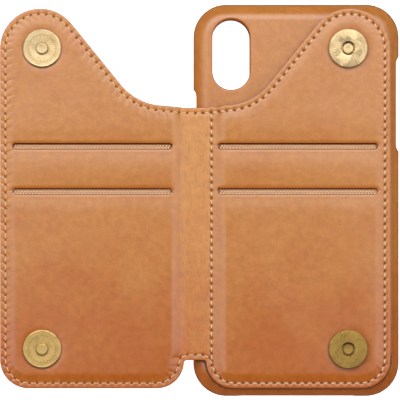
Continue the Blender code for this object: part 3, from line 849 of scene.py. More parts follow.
class Seam:
    """Where the needle goes in, along the edge and up the fold of one half."""

    REACH = 2.0 * MM  # no hole shows farther than this from its seam
    RINGS = ((0.6, 6, 0.0), (1.05, 8, 0.0), (1.6, 8, 0.5))  # size, points, shift of the points
    SLANT = 0.3  # how far a hole leans across for each step along it

    def __init__(self, settings, side):
        self.side = side
        self.inset = settings.inset
        self.round = Line(EDGES.inset(settings.inset, Line.FINE))
        total = self.round.run[-1]
        self.pitch = total / round(total / settings.stitch)
        self.fold_u = PANEL_EDGE + settings.inset - 0.05 * MM
        low, high = self.round.heights_at(self.fold_u)
        self.fold_top = high
        self.fold_pitch = (high - low) / round((high - low) / settings.stitch)
        self.fold_bottom = low
        shorter, narrower = (1.0, 1.0) if side > 0 else (0.78, 0.72)  # the flap's are smaller
        self.half_long = settings.hole_length / 2 * shorter
        self.half_wide = settings.hole_width / 2 * narrower

    def phase(self, place, pitch):
        """How far this place is from the nearest hole."""
        return (place + pitch / 2) % pitch - pitch / 2

    def round_holes(self):
        count = round(self.round.run[-1] / self.pitch)
        return [self.round.at(k * self.pitch) for k in range(count + 1)]

    def fold_holes(self):
        count = round((self.fold_top - self.fold_bottom) / self.fold_pitch)
        return [(self.fold_u, self.fold_top - k * self.fold_pitch) for k in range(count + 1)]

    def depth_at(self, along, across):
        """1 in the middle of a hole, falling to 0 round it."""
        slanted = across + self.SLANT * along
        return exp(-((along / self.half_long) ** 2 + (slanted / self.half_wide) ** 2))

    def hole(self, u, y, d):
        """depth_at the nearest hole; d is the distance to the leather's edge."""
        away, place = self.round.near(u, y)
        if away > self.REACH and (self.side < 0 or abs(u - self.fold_u) > self.REACH):
            return 0.0
        across = away if d > self.inset else -away
        deepest = self.depth_at(self.phase(place, self.pitch), across)
        if self.side > 0 and self.fold_bottom - 1.0 * MM < y < self.fold_top + 1.0 * MM:
            along = self.phase(self.fold_top - y, self.fold_pitch)
            deepest = max(deepest, self.depth_at(along, self.fold_u - u))
        return deepest

    def around_holes(self):
        """Points that let the mesh follow each hole's shape."""
        holes = []
        for u, y in self.round_holes():
            _, place = self.round.near(u, y)
            i = min(int(np.searchsorted(self.round.run, place)), len(self.round.normals) - 1)
            normal = self.round.normals[i]
            holes.append((u, y, (normal[1], -normal[0])))
        if self.side > 0:
            holes += [(u, y, (0.0, -1.0)) for u, y in self.fold_holes()]
        points = []
        for u, y, forward in holes:
            left = (-forward[1], forward[0])
            points.append((u, y))
            for grow, count, shift in self.RINGS:
                for k in range(count):
                    a = 2 * pi * (k + shift) / count
                    along = grow * self.half_long * cos(a)
                    across = grow * self.half_wide * sin(a) - self.SLANT * along
                    points.append((
                        u + along * forward[0] + across * left[0],
                        y + along * forward[1] + across * left[1],
                    ))
        return points


class PanelShape:
    """Heights and marks over one half of the folded-out leather."""

    # Where the leather rises, as its start and its width: up to the horns, across the panel from
    # its fold's seam, and across the flap from the fold line.
    HORN_RISE = (22 * MM, 10 * MM)
    PANEL_RISE = (0.2 * MM, 5.4 * MM)
    FLAP_RISE = (3.4 * MM, 5.8 * MM)

    # What sinks, as its width and its depth.
    UPPER_LIP = (0.8 * MM, 0.34 * MM)
    LOWER_LIP = (0.4 * MM, 0.10 * MM)
    SNAP_SEAT = (1.8 * MM, 0.12 * MM)
    EDGE_ROUND = (0.4 * MM, 0.16 * MM)
    PUFF_WIDTH = 3.6 * MM
    GROOVE_WIDTH = 0.55 * MM
    GROOVE_DEPTH = 0.09 * MM

    def __init__(self, side, wallet):
        self.side = side
        self.panel = wallet.panel
        self.seam = Seam(wallet.seam, side)
        self.slots = [(SLOT_U, y) for y in SLOT_HEIGHTS]
        self.snaps = [
            (SNAP_U, sum(corner.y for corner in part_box(f"{label}_socket_cap")) / 2)
            for label in SNAPS
        ]

    def hole(self, u, y):
        return self.seam.hole(u, y, EDGES.near(u, y)[0])

    def from_slot(self, u, y):
        """Distance to the nearest slot's opening, and the height above its middle."""
        found = []
        half = self.panel.slot_width / 2 - self.panel.slot_opening / 2
        for slot_u, slot_y in self.slots:
            beside = max(abs(u - slot_u) - half, 0.0)
            found.append((hypot(beside, y - slot_y) - self.panel.slot_opening / 2, y - slot_y))
        return min(found)

    def wave(self, u, y):
        """Slow unevenness of hand-laid leather."""
        where = Vector((u * self.side, y, 0.01 * self.side))
        slow = noise.noise(where * 42.0) + 0.4 * noise.noise(where * 110.0)
        return slow * self.panel.unevenness

    def pucker(self, d, place):
        """Small creases that the tight thread pulls, leaning away from each hole."""
        inward = abs(d - self.seam.inset)
        if not 0.2 * MM < inward < 4.5 * MM:
            return 0.0
        along = self.seam.phase(place - 0.4 * inward, self.seam.pitch)
        reach = smooth((inward - 0.2 * MM) / (0.5 * MM)) * fade(inward - 0.7 * MM, 3.0 * MM)
        strength = 0.26 if self.side < 0 else 0.09
        uneven = 0.6 + 0.8 * noise.noise(Vector((place * 260.0, 3.0, self.side)))
        return strength * MM * reach * uneven * bump(along, 0.42 * MM)

    def top(self, u, y):
        """Height of the grain side."""
        spine_z = SPINE_Z + self.panel.spine_lift
        start, width = self.HORN_RISE
        raised = self.panel.horn_lift * smooth((y - start) / width)
        flange_z = UPPER_Z + self.panel.face + self.panel.lift + raised
        d, _ = EDGES.near(u, y)
        away, place = self.seam.round.near(u, y)
        rise = smooth((d - self.panel.flange) / self.panel.rise)
        if self.side > 0:
            start, width = self.PANEL_RISE
            out = smooth((u - self.seam.fold_u - start) / width)
        else:
            start, width = self.FLAP_RISE
            out = smooth((u - start) / width)
        height = spine_z + (flange_z + (FACE_Z - 0.2 * MM - flange_z) * rise - spine_z) * out
        rise *= out
        height += self.wave(u, y) * rise
        slot_away, above = self.from_slot(u, y)
        height -= self.panel.puff * bump(max(slot_away, 0.0), self.PUFF_WIDTH) * rise
        height -= fade(slot_away, *(self.UPPER_LIP if above > 0 else self.LOWER_LIP))
        for snap_u, snap_y in self.snaps:
            r = hypot(u - snap_u, y - snap_y)
            height -= fade(r - SNAP_RADIUS + 0.1 * MM, *self.SNAP_SEAT)
        groove = bump(away, self.GROOVE_WIDTH)
        if self.side > 0:
            fold = bump(u - self.seam.fold_u, self.GROOVE_WIDTH) * smooth(d / self.seam.inset)
            groove = max(groove, fold)
        height -= self.GROOVE_DEPTH * groove
        height -= self.panel.hole_depth * self.hole(u, y)
        height -= self.pucker(d, place)
        height -= fade(d, *self.EDGE_ROUND)
        return height

    def bottom(self, u, y):
        """Height of the flesh side; the stitched edge is turned in, so it's twice as thick."""
        d, _ = EDGES.near(u, y)
        turned_in = fade(d - 3.0 * MM, 1.5 * MM) * smooth((u - PANEL_INNER) / MM)
        single = self.top(u, y) - self.panel.face + 0.05 * MM
        return single + (UPPER_Z + 0.05 * MM - single) * turned_in

    def rubbed(self, u, y):
        """Darker, shinier leather: burnished along the cut edges and darker in the seam's groove,
        with painted shade on the upper slot lips and round the snaps.
        """
        d, _ = EDGES.near(u, y)
        worn = max(fade(d, 0.6 * MM, 0.7), 0.3 * bump(d - self.seam.inset, 0.4 * MM))
        away, above = self.from_slot(u, y)
        # painted shade: the upper lip is darkened far more than the lower one
        lip = fade(away, 1.0 * MM, 0.9) if above > 0 else fade(away, 0.5 * MM, 0.3)
        worn = max(worn, lip)
        # painted shadow round each snap
        for snap_u, snap_y in self.snaps:
            worn = max(worn, fade(hypot(u - snap_u, y - snap_y) - SNAP_RADIUS, 0.9 * MM, 0.5))
        return worn

    def slot_loop(self, slot, grow, step):
        """Points round a slot's opening, this much outside it."""
        half = self.panel.slot_width / 2 + grow
        tall = self.panel.slot_opening / 2 + grow
        return spaced(rounded_rectangle(half, tall, tall * 0.98, slot), step, closed=True)


EDGES = Line(half_outline())

# Where the rows of mesh points lie, in millimetres: in from the edge, out from the fold's seam,
# out from a slot, out from a snap, and up from a slot's lower lip.
ROW_DEPTHS = (0.14, 0.34, 0.7, 1.1, 1.5, 1.75, 2.0, 2.25, 2.5, 2.8, 3.2, 3.6, 4.1, 4.6, 5.2, 6.0)
STITCHED_BACK_DEPTHS = (0.2, 0.45, 1.1, 1.5, 1.75, 2.0, 2.25, 2.5, 3.0)
PLAIN_BACK_DEPTHS = (0.2, 0.45)
SEAM_OFFSETS = (-0.5, -0.22, 0.0, 0.22, 0.5, 0.85, 1.3, 1.8, 2.4, 3.1, 3.8)
SLOT_OFFSETS = (0.18, 0.4, 0.7, 1.1, 1.7, 2.5)
SNAP_OFFSETS = (-0.5, -0.1, 0.2, 0.5, 0.9, 1.4)
CLOTH_RISES = (
    -0.1, 0.02, 0.06, 0.1, 0.14, 0.18, 0.25, 0.4, 0.6, 0.8, 1.0, 1.2, 1.4, 1.6, 1.75, 1.9, 2.05,
    2.2, 2.4, 2.6,
)
ALONG = 0.36 * MM  # spacing along the edge and the seams


def cut_line(u, step):
    """Points up the line at this u, from the leather's lower edge to its upper one. Both pieces
    that meet there use the same ones."""
    low, high = EDGES.heights_at(u)
    return spaced([(u, low), (u, high)], step)


def rising_line(u, below, step):
    """Points up the line at this u, from this far below the spine to its upper end."""
    return spaced([(u, SPINE_BOTTOM - below), (u, SPINE_TOP)], step)


def within(rows, low, high):
    """The rows without their points outside two values of u."""
    low = low + 0.12 * MM
    return [([p for p in points if low < p[0] < high], spacing) for points, spacing in rows]


def face_rows(shape, low, high):
    """Rows of points for one piece of the face, finest along its seams and slots."""
    rows = [(shape.seam.around_holes(), 0.17 * MM)]
    rows += [(EDGES.inset(depth * MM, ALONG), 0.26 * MM) for depth in ROW_DEPTHS]
    if shape.side > 0:
        for offset in SEAM_OFFSETS:
            rows.append((rising_line(shape.seam.fold_u + offset * MM, 6 * MM, ALONG), 0.26 * MM))
    else:
        for u in np.arange(0.0, 10.0, 0.7) * MM:
            rows.append((rising_line(u, 8 * MM, 0.7 * MM), 0.6 * MM))
    for u in np.arange(0.0, 6.0, 0.5) * MM:
        rows.append((rising_line(u, 8 * MM, 0.6 * MM), 0.4 * MM))
    if high > SLOT_U:
        for slot in shape.slots:
            for grow in SLOT_OFFSETS:
                spacing = (0.4 + 0.25 * grow) * MM
                rows.append((shape.slot_loop(slot, grow * MM, spacing), spacing))
        for snap in shape.snaps:
            for grow in SNAP_OFFSETS:
                rows.append((circle(SNAP_RADIUS + grow * MM, snap, 0.5 * MM), 0.4 * MM))
    pitch = 1.15 * MM
    staggered = []
    for j, y in enumerate(np.arange(PANEL_BOTTOM, PANEL_TOP, pitch * 0.87)):
        shift = pitch / 2 if j % 2 else 0.0
        staggered += [(u + shift, y) for u in np.arange(low, high, pitch)]
    rows.append((staggered, pitch * 0.9))
    return within(rows, low, high)


def part_boundary(low, high, step):
    """The outline of the leather between two values of u, counter-clockwise."""
    edge = [p for p in spaced(EDGES.points, step) if low + step * 0.3 < p[0] < high - step * 0.3]
    if high > PANEL_REACH:
        return edge + cut_line(low, step)[::-1]
    lower = [p for p in edge if p[1] < 0]
    upper = [p for p in edge if p[1] > 0]
    return lower + cut_line(high, step) + upper + cut_line(low, step)[::-1]


def face_piece(name, shape, low, high, finish):
    """The padded leather between two values of u, with its slots where it's wide enough."""
    holes = []
    if high > SLOT_U:
        holes = [shape.slot_loop(slot, 0.0, 0.4 * MM) for slot in shape.slots]
    points, faces = triangles_between(
        part_boundary(low, high, ALONG), holes, face_rows(shape, low, high)
    )
    marks = {"hole": shape.hole, "rubbed": shape.rubbed}
    return two_sided(name, points, faces, shape.top, shape.bottom, shape.side, finish, marks)


class BackShape:
    """The smooth leather under a panel: its grain side faces down."""

    def __init__(self, side, wallet, stitched):
        self.side = side
        self.seam = Seam(wallet.seam, side)
        self.stitched = stitched

    def hole(self, u, y):
        if not self.stitched:
            return 0.0
        away, place = self.seam.round.near(u, y)
        along = self.seam.phase(place, self.seam.pitch)
        return exp(-((along / (0.42 * MM)) ** 2 + (away / (0.28 * MM)) ** 2))

    def top(self, u, y):
        d, _ = EDGES.near(u, y)
        return BASE_TOP - fade(d, 0.3 * MM, 0.12 * MM)

    def bottom(self, u, y):
        d, _ = EDGES.near(u, y)
        height = BASE_Z + fade(d, 0.45 * MM, 0.22 * MM)
        if self.stitched:
            height += 0.09 * MM * bump(d - self.seam.inset, 0.5 * MM)
            height += 0.3 * MM * self.hole(u, y)
        return height

    def rubbed(self, u, y):
        d, _ = EDGES.near(u, y)
        return fade(d, 1.0 * MM, 0.7)


def back_piece(name, shape, low, high, finish):
    """The smooth leather between two values of u. Its marks show on the side that faces down."""
    if shape.stitched:
        rows = [(EDGES.inset(depth * MM, ALONG), 0.2 * MM) for depth in STITCHED_BACK_DEPTHS]
    else:
        rows = [(EDGES.inset(depth * MM, 0.8 * MM), 0.3 * MM) for depth in PLAIN_BACK_DEPTHS]
    for u in np.arange(0.0, 6.0, 0.5) * MM:
        rows.append((rising_line(u, 8 * MM, 0.9 * MM), 0.45 * MM))
    pitch = 3.0 * MM
    rows.append((square_grid((low, PANEL_BOTTOM), (high, PANEL_TOP), pitch), pitch * 0.8))
    rows = within(rows, low, high)
    points, faces = triangles_between(part_boundary(low, high, ALONG), [], rows)
    values = {"hole": shape.hole, "rubbed": shape.rubbed}
    made = two_sided(name, points, faces, shape.top, shape.bottom, shape.side, finish, values)
    count = len(points)
    for mark in values:
        data = made.data.attributes[mark].data
        read = np.zeros(2 * count, np.float32)
        data.foreach_get("value", read)
        read[count:] = read[:count]
        data.foreach_set("value", read)
    return made


# Seams ---------------------------------------------------------------------------------------


def stitch_path(start, end, surface, radius, slant, deep, gap, upward=1):
    """Centre line of one stitch from hole to hole, diving into the leather at both ends. gap is
    the share of the way that the thread starts and stops short."""
    count = 11
    (x0, y0), (x1, y1) = start, end
    long = hypot(x1 - x0, y1 - y0)
    nx, ny = -(y1 - y0) / long, (x1 - x0) / long
    points = []
    for i in range(count):
        t = i / (count - 1)
        s = gap + (1 - 2 * gap) * t
        across = slant * (t - 0.5)
        x = x0 + (x1 - x0) * s + nx * across
        y = y0 + (y1 - y0) * s + ny * across
        crown = 1 - (2 * t - 1) ** 4
        height = surface + upward * (radius * 0.65 * crown - deep * (1 - crown))
        points.append((x, y, height))
    return points


def thread_mesh(name, paths, radius, finish):
    """Round threads along the paths, as one piece of many stitches."""
    points, faces, run, turn, tuck = [], [], [], [], []
    sides = 8
    for path in paths:
        line = np.array(path)
        tangent = np.gradient(line, axis=0)
        tangent /= np.linalg.norm(tangent, axis=1)[:, None]
        across = np.cross(tangent, (0, 0, 1.0))
        across /= np.linalg.norm(across, axis=1)[:, None]
        upward = np.cross(across, tangent)
        lengths = np.concatenate([[0], np.cumsum(np.linalg.norm(np.diff(line, axis=0), axis=1))])
        first = len(points)
        for k, middle in enumerate(line):
            end = min(k, len(line) - 1 - k)
            slim = radius * (0.72 if end == 0 else 1.0)
            for i in range(sides):
                a = 2 * pi * i / sides
                points.append(middle + slim * (cos(a) * across[k] + sin(a) * upward[k]))
                run.append(lengths[k] / MM)
                turn.append(a)
                # painted shade at the thread's ends
                tuck.append(1.0 if end == 0 else 0.45 if end == 1 else 0.0)
        for k in range(len(line) - 1):
            low = first + k * sides
            for i in range(sides):
                j = (i + 1) % sides
                faces.append((low + i, low + j, low + sides + j, low + sides + i))
        faces.append(tuple(range(first, first + sides)))
        faces.append(tuple(range(first + (len(line) - 1) * sides, first + len(line) * sides)))
    marks = {"run": run, "turn": turn, "tuck": tuck}
    return mesh_object(name, points, faces, finish, marks, sharp=70)


def stitches(shape, pairs, slant, radius):
    """Paths of stitches lying on the face, mirrored to their side."""
    paths = []
    deep = 0.5 * MM
    gap = 0.25 if shape.side > 0 else 0.15
    for start, end in pairs:
        middle = ((start[0] + end[0]) / 2, (start[1] + end[1]) / 2)
        surface = shape.top(*middle)
        path = stitch_path(start, end, surface, radius, slant, deep, gap)
        paths.append([(FOLD_X + shape.side * u, y, z) for u, y, z in path])
    return paths


def under_stitches(side, pairs, radius):
    """The same seam seen from below, on the outer leather."""
    paths = []
    for start, end in pairs:
        path = stitch_path(start, end, BASE_Z + 0.1 * MM, radius, 0.0, 0.25 * MM, 0.06, upward=-1)
        paths.append([(FOLD_X + side * u, y, z) for u, y, z in path])
    return paths


def split_pairs(holes):
    """Pairs of neighbouring holes on the spine's strip, and those on the rigid panel."""
    pairs = list(zip(holes, holes[1:]))
    spine = [pair for pair in pairs if min(pair[0][0], pair[1][0]) < PANEL_INNER - 0.3 * MM]
    return spine, [pair for pair in pairs if pair not in spine]


# Operators -----------------------------------------------------------------------------------


class WALLET_OT_shell(bpy.types.Operator):
    """Make the leather-wrapped phone shell with its lining"""

    bl_idname = "wallet.shell"
    bl_label = "Phone shell"

    def execute(self, context):
        wallet = context.scene.wallet
        make_case_leather(wallet)
        make_hard_shell(wallet)
        make_lining(wallet)
        return {"FINISHED"}


def case_inset(x, y):
    """How far a point lies inside the case's outline."""
    qx = abs(x - CASE_X) - (CASE_HALF_X - CASE_CORNER)
    qy = abs(y) - (CASE_HALF_Y - CASE_CORNER)
    outside = hypot(max(qx, 0), max(qy, 0))
    return CASE_CORNER - outside - min(max(qx, qy), 0)


def dome_height(inset, edge, top):
    """Height of a flat top whose edge rounds down over this radius."""
    return top - edge + sqrt(max(edge * edge - (edge - min(inset, edge)) ** 2, 0))


def camera_distance(x, y):
    """Distance outwards from the camera window's edge."""
    half = (CAMERA_LENGTH - CAMERA_WIDTH) / 2
    along = max(abs(y - CAMERA_Y) - half, 0.0)
    return hypot(x - FOLD_X - CAMERA_U, along) - CAMERA_WIDTH / 2


def camera_loop(grow, step):
    """Points round the camera window, this much outside the leather's edge."""
    centre = (FOLD_X + CAMERA_U, CAMERA_Y)
    half = CAMERA_WIDTH / 2 + grow
    return spaced(
        rounded_rectangle(half, CAMERA_LENGTH / 2 + grow, half, centre, 40), step, closed=True
    )


def case_edge():
    """The case's outline, evenly spaced, and the direction inwards at each of its points."""
    outline = rounded_rectangle(CASE_HALF_X, CASE_HALF_Y, CASE_CORNER, (CASE_X, 0), 18)
    edge = np.array(spaced(outline, 0.9 * MM, closed=True))
    forward = np.roll(edge, -1, axis=0) - np.roll(edge, 1, axis=0)
    forward /= np.hypot(*forward.T)[:, None]
    return edge, np.stack([-forward[:, 1], forward[:, 0]], axis=1)


def wrap_walls(edge, inward):
    """Loops of the leather's side walls, from the rim to where they have rounded over into the
    back."""
    bend_z = BACK_Z - CASE_EDGE
    last_inset = 4.2 * MM
    turns = 12
    last_turn = np.arccos(1 - last_inset / CASE_EDGE)
    loops = [level(edge, z) for z in np.linspace(CASE_LOW.z, bend_z, 6)[:-1]]
    for step in range(turns + 1):
        turn = last_turn * step / turns
        ring = edge + CASE_EDGE * (1 - cos(turn)) * inward
        loops.append(level(ring, bend_z + CASE_EDGE * sin(turn)))
    return loops


def wrap_height(x, y, roll):
    """Height of the back's leather, which rolls down at the camera window."""
    near = min(max(camera_distance(x, y), 0.0), roll)
    drop = roll - sqrt(max(roll * roll - (roll - near) ** 2, 0))
    return dome_height(case_inset(x, y), CASE_EDGE, BACK_Z) - drop


def wrap_back(boundary, window, edge, inward, roll):
    """Points and triangles of the back's leather, finest round the camera window."""
    rows = []
    for grow in (0.08, 0.2, 0.38, 0.6, 0.8, 1.0):
        rows.append((camera_loop(grow * roll, 0.5 * MM), 0.1 * MM))
    for grow in (0.8, 1.3):
        rows.append((camera_loop(grow * MM, 0.7 * MM), 0.3 * MM))
    for depth in (4.6, 5.0, 5.4, 5.8, 6.2, 7.0):
        ring = edge + depth * MM * inward
        rows.append(([tuple(p) for p in ring], 0.3 * MM))
    pitch = 2.4 * MM
    rows.append((square_grid(CASE_LOW, CASE_HIGH, pitch), pitch * 0.8))
    points, faces = triangles_between(boundary, [window], rows)
    return [(x, y, wrap_height(x, y, roll)) for x, y in points], faces


def window_edge(window, roll):
    """The leather's edge in the camera window, leaning in as it runs down to the lining."""
    floor_z = LINING_HIGH.z - 0.1 * MM
    lean_x, lean_y = -0.2 * MM, -0.7 * MM
    rim = [(x, y, wrap_height(x, y, roll)) for x, y in window]
    loops = [
        [(x + lean_x * t, y + lean_y * t, z + (floor_z - z) * t) for x, y, z in rim]
        for t in np.linspace(0, 1, 5)
    ]
    return banded(loops, closed=False)


def joined(*parts):
    """Several sets of points and faces as one."""
    points, faces = [], []
    for more_points, more_faces in parts:
        start = len(points)
        points += more_points
        faces += [tuple(i + start for i in face) for face in more_faces]
    return points, faces


def wrap_marks(points):
    """Painted shade on the case's rounded sides, burnish round the window's rolled edge, the
    window's cut edge, and a painted shadow line on the back under the panel's lower edge."""
    rubbed, cut_mark, painted_panel_shadow = [], [], []
    for x, y, z in points:
        # painted shade: the case's rounded sides are darkened
        slope = fade(case_inset(x, y) - 0.2 * MM, 2.6 * MM)
        away = camera_distance(x, y)
        rolled = bump(max(away - 0.1 * MM, 0.0), 0.45 * MM)
        low = smooth((BACK_Z - 0.3 * MM - z) / (0.9 * MM)) if away < 0.2 * MM else 0
        rubbed.append(max(0.15 * slope, 0.7 * rolled, low))
        cut_mark.append(0.8 * low)
        # painted shadow: a dark line, carried by the hole mark, on the back just under the panel's
        # lower edge
        below = smooth((-55 * MM - y) / (5 * MM)) if x > FOLD_X else 0
        near_panel = EDGES.near(x - FOLD_X, y)[0]
        painted_panel_shadow.append(below * fade(near_panel - 0.35 * MM, 0.6 * MM))
    return {"rubbed": rubbed, "cut": cut_mark, "hole": painted_panel_shadow}


def weld_outward(obj):
    """Joins points that coincide and turns the surface's outer side up."""
    weld = bmesh.new()
    weld.from_mesh(obj.data)
    bmesh.ops.remove_doubles(weld, verts=weld.verts, dist=0.01 * MM)
    bmesh.ops.recalc_face_normals(weld, faces=weld.faces)
    if sum(f.calc_area() * f.normal.z for f in weld.faces) < 0:
        bmesh.ops.reverse_faces(weld, faces=weld.faces)
    weld.to_mesh(obj.data)
    weld.free()


def make_case_leather(wallet):
    """The wrap: side walls that round over into the back, turned in round the camera window."""
    settings = wallet.shell
    edge, inward = case_edge()
    walls = wrap_walls(edge, inward)
    boundary = [(x, y) for x, y, _ in walls[-1]]
    window = camera_loop(0.0, 0.45 * MM)
    points, faces = joined(
        banded(walls, closed=False),
        wrap_back(boundary, window, edge, inward, settings.roll),
        window_edge(window, settings.roll),
    )
    finish = leather("case_leather", wallet.leather, fine=1.15)
    obj = mesh_object("case_leather", points, faces, finish, wrap_marks(points))
    weld_outward(obj)
    thick = obj.modifiers.new("thickness", "SOLIDIFY")
    thick.thickness = settings.wrap
    thick.offset = -1
    settle(obj)
    cut(obj, side_cutters())
    soften(obj, 0.14 * MM)
    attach(obj, "case")
    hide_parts("shell_leather")


def side_cutters():
    """Tools for the button and port openings, each open at the rim with rounded corners."""
    tools = []
    wall = 2.4 * MM
    below = -2.0 * MM
    seat = LINING_HIGH.z - 0.3 * MM
    radius = 2.5 * MM
    for side, y, size in SIDE_CUTS:
        profile = opening_profile(size / 2, seat, radius, below)
        loops = []
        for half_x in (CASE_HALF_X + wall / 2, CASE_HALF_X - wall):
            x = CASE_X + side * half_x
            loops.append([(x, y + along, z) for along, z in profile])
        tools.append(capped(loops))
    width, height = PORT_CUT
    profile = opening_profile(width / 2, height, radius, below)
    loops = [
        [(CASE_X + along, y, z) for along, z in profile]
        for y in (-CASE_HALF_Y - wall / 2, -CASE_HALF_Y + wall)
    ]
    tools.append(capped(loops))
    return tools


def opening_profile(half, top, radius, below):
    """An opening's shape as (along, height): open below, with two rounded upper corners."""
    points = [(-half, below), (half, below)]
    points += arc((half - radius, top - radius), radius, 0, 90, 10)
    points += arc((radius - half, top - radius), radius, 90, 180, 10)
    return points


def dome(half_x, half_y, corner, edge, top, start_z, steps=14, rings=9):
    """Loops of a wall that rises from start_z and rounds over into a flat top."""
    loops = [level(rounded_rectangle(half_x, half_y, corner, (CASE_X, 0), steps), start_z)]
    for step in range(rings + 1):
        turn = pi / 2 * step / rings
        shrink = edge * (1 - cos(turn))
        ring = rounded_rectangle(
            half_x - shrink, half_y - shrink, corner - shrink, (CASE_X, 0), steps
        )
        loops.append(level(ring, top - edge + edge * sin(turn)))
    return loops


def tray(name, outer, inner, finish):
    """A tray open at the front; its back is closed by a face outside and one inside."""
    points, faces = banded(list(reversed(outer)) + inner, closed=False)
    count = len(outer[0])
    faces += [tuple(range(count)), tuple(range(len(points) - count, len(points)))]
    return mesh_object(name, points, faces, finish)


def window_cutter(grow):
    """Tool for the camera window, this much larger all round than the leather's edge."""
    loop = camera_loop(grow, 0.5 * MM)
    return capped([level(loop, LINING_LOW.z + 4 * MM), level(loop, BACK_Z + 2 * MM)])


def make_hard_shell(wallet):
    """The moulded tray: a rounded front rim, a lip that holds the phone, and the window."""
    half_x, half_y = CASE_HALF_X, CASE_HALF_Y
    lip_z = LINING_LOW.z
    under = wallet.shell.wrap + 0.25 * MM
    room_x = (LINING_HIGH.x - LINING_LOW.x) / 2 + 0.15 * MM
    room_y = (LINING_HIGH.y - LINING_LOW.y) / 2 + 0.15 * MM
    room_corner = CASE_CORNER - (half_y - room_y)
    mouth = 0.8 * MM

    def ring(shrink, z):
        shape = rounded_rectangle(
            half_x - shrink, half_y - shrink, CASE_CORNER - shrink, (CASE_X, 0), 14
        )
        return level(shape, z)

    outer = [ring(0.45 * MM, 0.0), ring(0.2 * MM, 0.08 * MM), ring(0.04 * MM, 0.3 * MM)]
    outer += [ring(0.0, 0.6 * MM), ring(0.0, lip_z), ring(under, lip_z + 0.15 * MM)]
    outer += dome(
        half_x - under, half_y - under, CASE_CORNER - under, CASE_EDGE - under,
        SHELL_HIGH.z, CASE_LOW.z + 0.3 * MM,
    )
    lip = [
        level(
            rounded_rectangle(
                room_x - mouth + back, room_y - mouth + back, room_corner - mouth + back,
                (CASE_X, 0), 14,
            ),
            z,
        )
        for back, z in ((0.15 * MM, 0.0), (0.0, 0.15 * MM), (0.0, 0.55 * MM), (0.12 * MM, 0.7 * MM))
    ]
    cavity = dome(room_x, room_y, room_corner, 3.8 * MM, LINING_HIGH.z + 0.2 * MM, 0.72 * MM)
    obj = tray("moulded_shell", outer, lip + cavity, shell_finish(wallet.shell))
    cut(obj, side_cutters() + [window_cutter(1.3 * MM)])
    soften(obj, 0.12 * MM)
    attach(obj, "case")
    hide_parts("hard_shell")


def make_lining(wallet):
    """The thin lining between the phone and the moulded tray."""
    half_x = (LINING_HIGH.x - LINING_LOW.x) / 2
    half_y = (LINING_HIGH.y - LINING_LOW.y) / 2
    corner = CASE_CORNER - (CASE_HALF_Y - half_y)
    thick = 0.3 * MM
    edge = 3.8 * MM
    obj = tray(
        "microfibre_lining",
        dome(half_x, half_y, corner, edge, LINING_HIGH.z, LINING_LOW.z),
        dome(
            half_x - thick, half_y - thick, corner - thick, edge - thick,
            LINING_HIGH.z - thick, LINING_LOW.z,
        ),
        lining_finish(wallet.shell),
    )
    cut(obj, side_cutters() + [window_cutter(0.85 * MM)])
    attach(obj, "case")
    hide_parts("shell_lining")


class WALLET_OT_panels(bpy.types.Operator):
    """Make the two padded card panels and the leather behind each"""

    bl_idname = "wallet.panels"
    bl_label = "Card panels"

    def execute(self, context):
        wallet = context.scene.wallet
        face_finish = leather("face_leather", wallet.leather)
        back_finish = leather("outer_leather", wallet.leather, fine=1.2)
        for prefix, side in SIDES.items():
            shape = PanelShape(side, wallet)
            face = face_piece(f"{prefix}_face", shape, PANEL_INNER, BEYOND, face_finish)
            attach(face, BODIES[prefix])
            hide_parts(f"{prefix}_face_leather")
            stitched = side < 0
            back = BackShape(side, wallet, stitched)
            node = "flap_outer_leather" if stitched else "panel_base_leather"
            sheet = back_piece(f"{prefix}_backing", back, PANEL_INNER, BEYOND, back_finish)
            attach(sheet, BODIES[prefix])
            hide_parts(node)
        return {"FINISHED"}


class WALLET_OT_spine(bpy.types.Operator):
    """Make the soft spine between the two panels, in two layers"""

    bl_idname = "wallet.spine"
    bl_label = "Spine"

    def execute(self, context):
        wallet = context.scene.wallet
        inner = leather("spine_leather", wallet.leather, crease=1.0, tint=1.08, smoothness=-0.03)
        outer = leather("spine_outer", wallet.leather, crease=0.35, fine=1.2)
        for prefix, bodies in HALVES.items():
            side = SIDES[prefix]
            shape = PanelShape(side, wallet)
            top = face_piece(f"spine_inner_{prefix}_half", shape, 0.0, PANEL_INNER, inner)
            back = BackShape(side, wallet, stitched=True)
            under = back_piece(f"spine_outer_{prefix}_half", back, 0.0, PANEL_INNER, outer)
            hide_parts("spine_inner_leather")
            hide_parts("spine_outer_leather")
            for piece in (top, under):
                bend(piece, side)
        return {"FINISHED"}


def bend(piece, side):
    """Bakes a spine piece's transform into its mesh, the same on either side."""
    if side > 0:
        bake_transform(piece)
    else:
        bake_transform(piece)


class WALLET_OT_seams(bpy.types.Operator):
    """Sew the seams, stitch by stitch"""

    bl_idname = "wallet.seams"
    bl_label = "Seams"

    def execute(self, context):
        wallet = context.scene.wallet
        seam = wallet.seam
        finishes = {
            "panel": thread_finish("cream_thread", seam.cream),
            "flap": thread_finish("gold_thread", seam.gold),
        }
        for prefix, side in SIDES.items():
            shape = PanelShape(side, wallet)
            radius = seam.thread if side > 0 else seam.thread * 0.85
            spine_pairs, pairs = split_pairs(shape.seam.round_holes())
            paths = stitches(shape, pairs, 0.35 * seam.thread, radius)
            if side > 0:
                holes = shape.seam.fold_holes()
                paths += stitches(shape, list(zip(holes, holes[1:])), seam.thread, radius)
            else:
                paths += under_stitches(side, pairs, radius)
            made = thread_mesh(f"{prefix}_stitches", paths, radius, finishes[prefix])
            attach(made, BODIES[prefix])
            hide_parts(f"{prefix}_seam_thread")
            paths = stitches(shape, spine_pairs, 0.0, radius)
            paths += under_stitches(side, spine_pairs, radius)
            name = f"spine_stitches_{prefix}_half"
            ends = thread_mesh(name, paths, radius, finishes["flap"])
            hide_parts("spine_upper_thread", "spine_lower_thread")
            bend(ends, side)
        return {"FINISHED"}


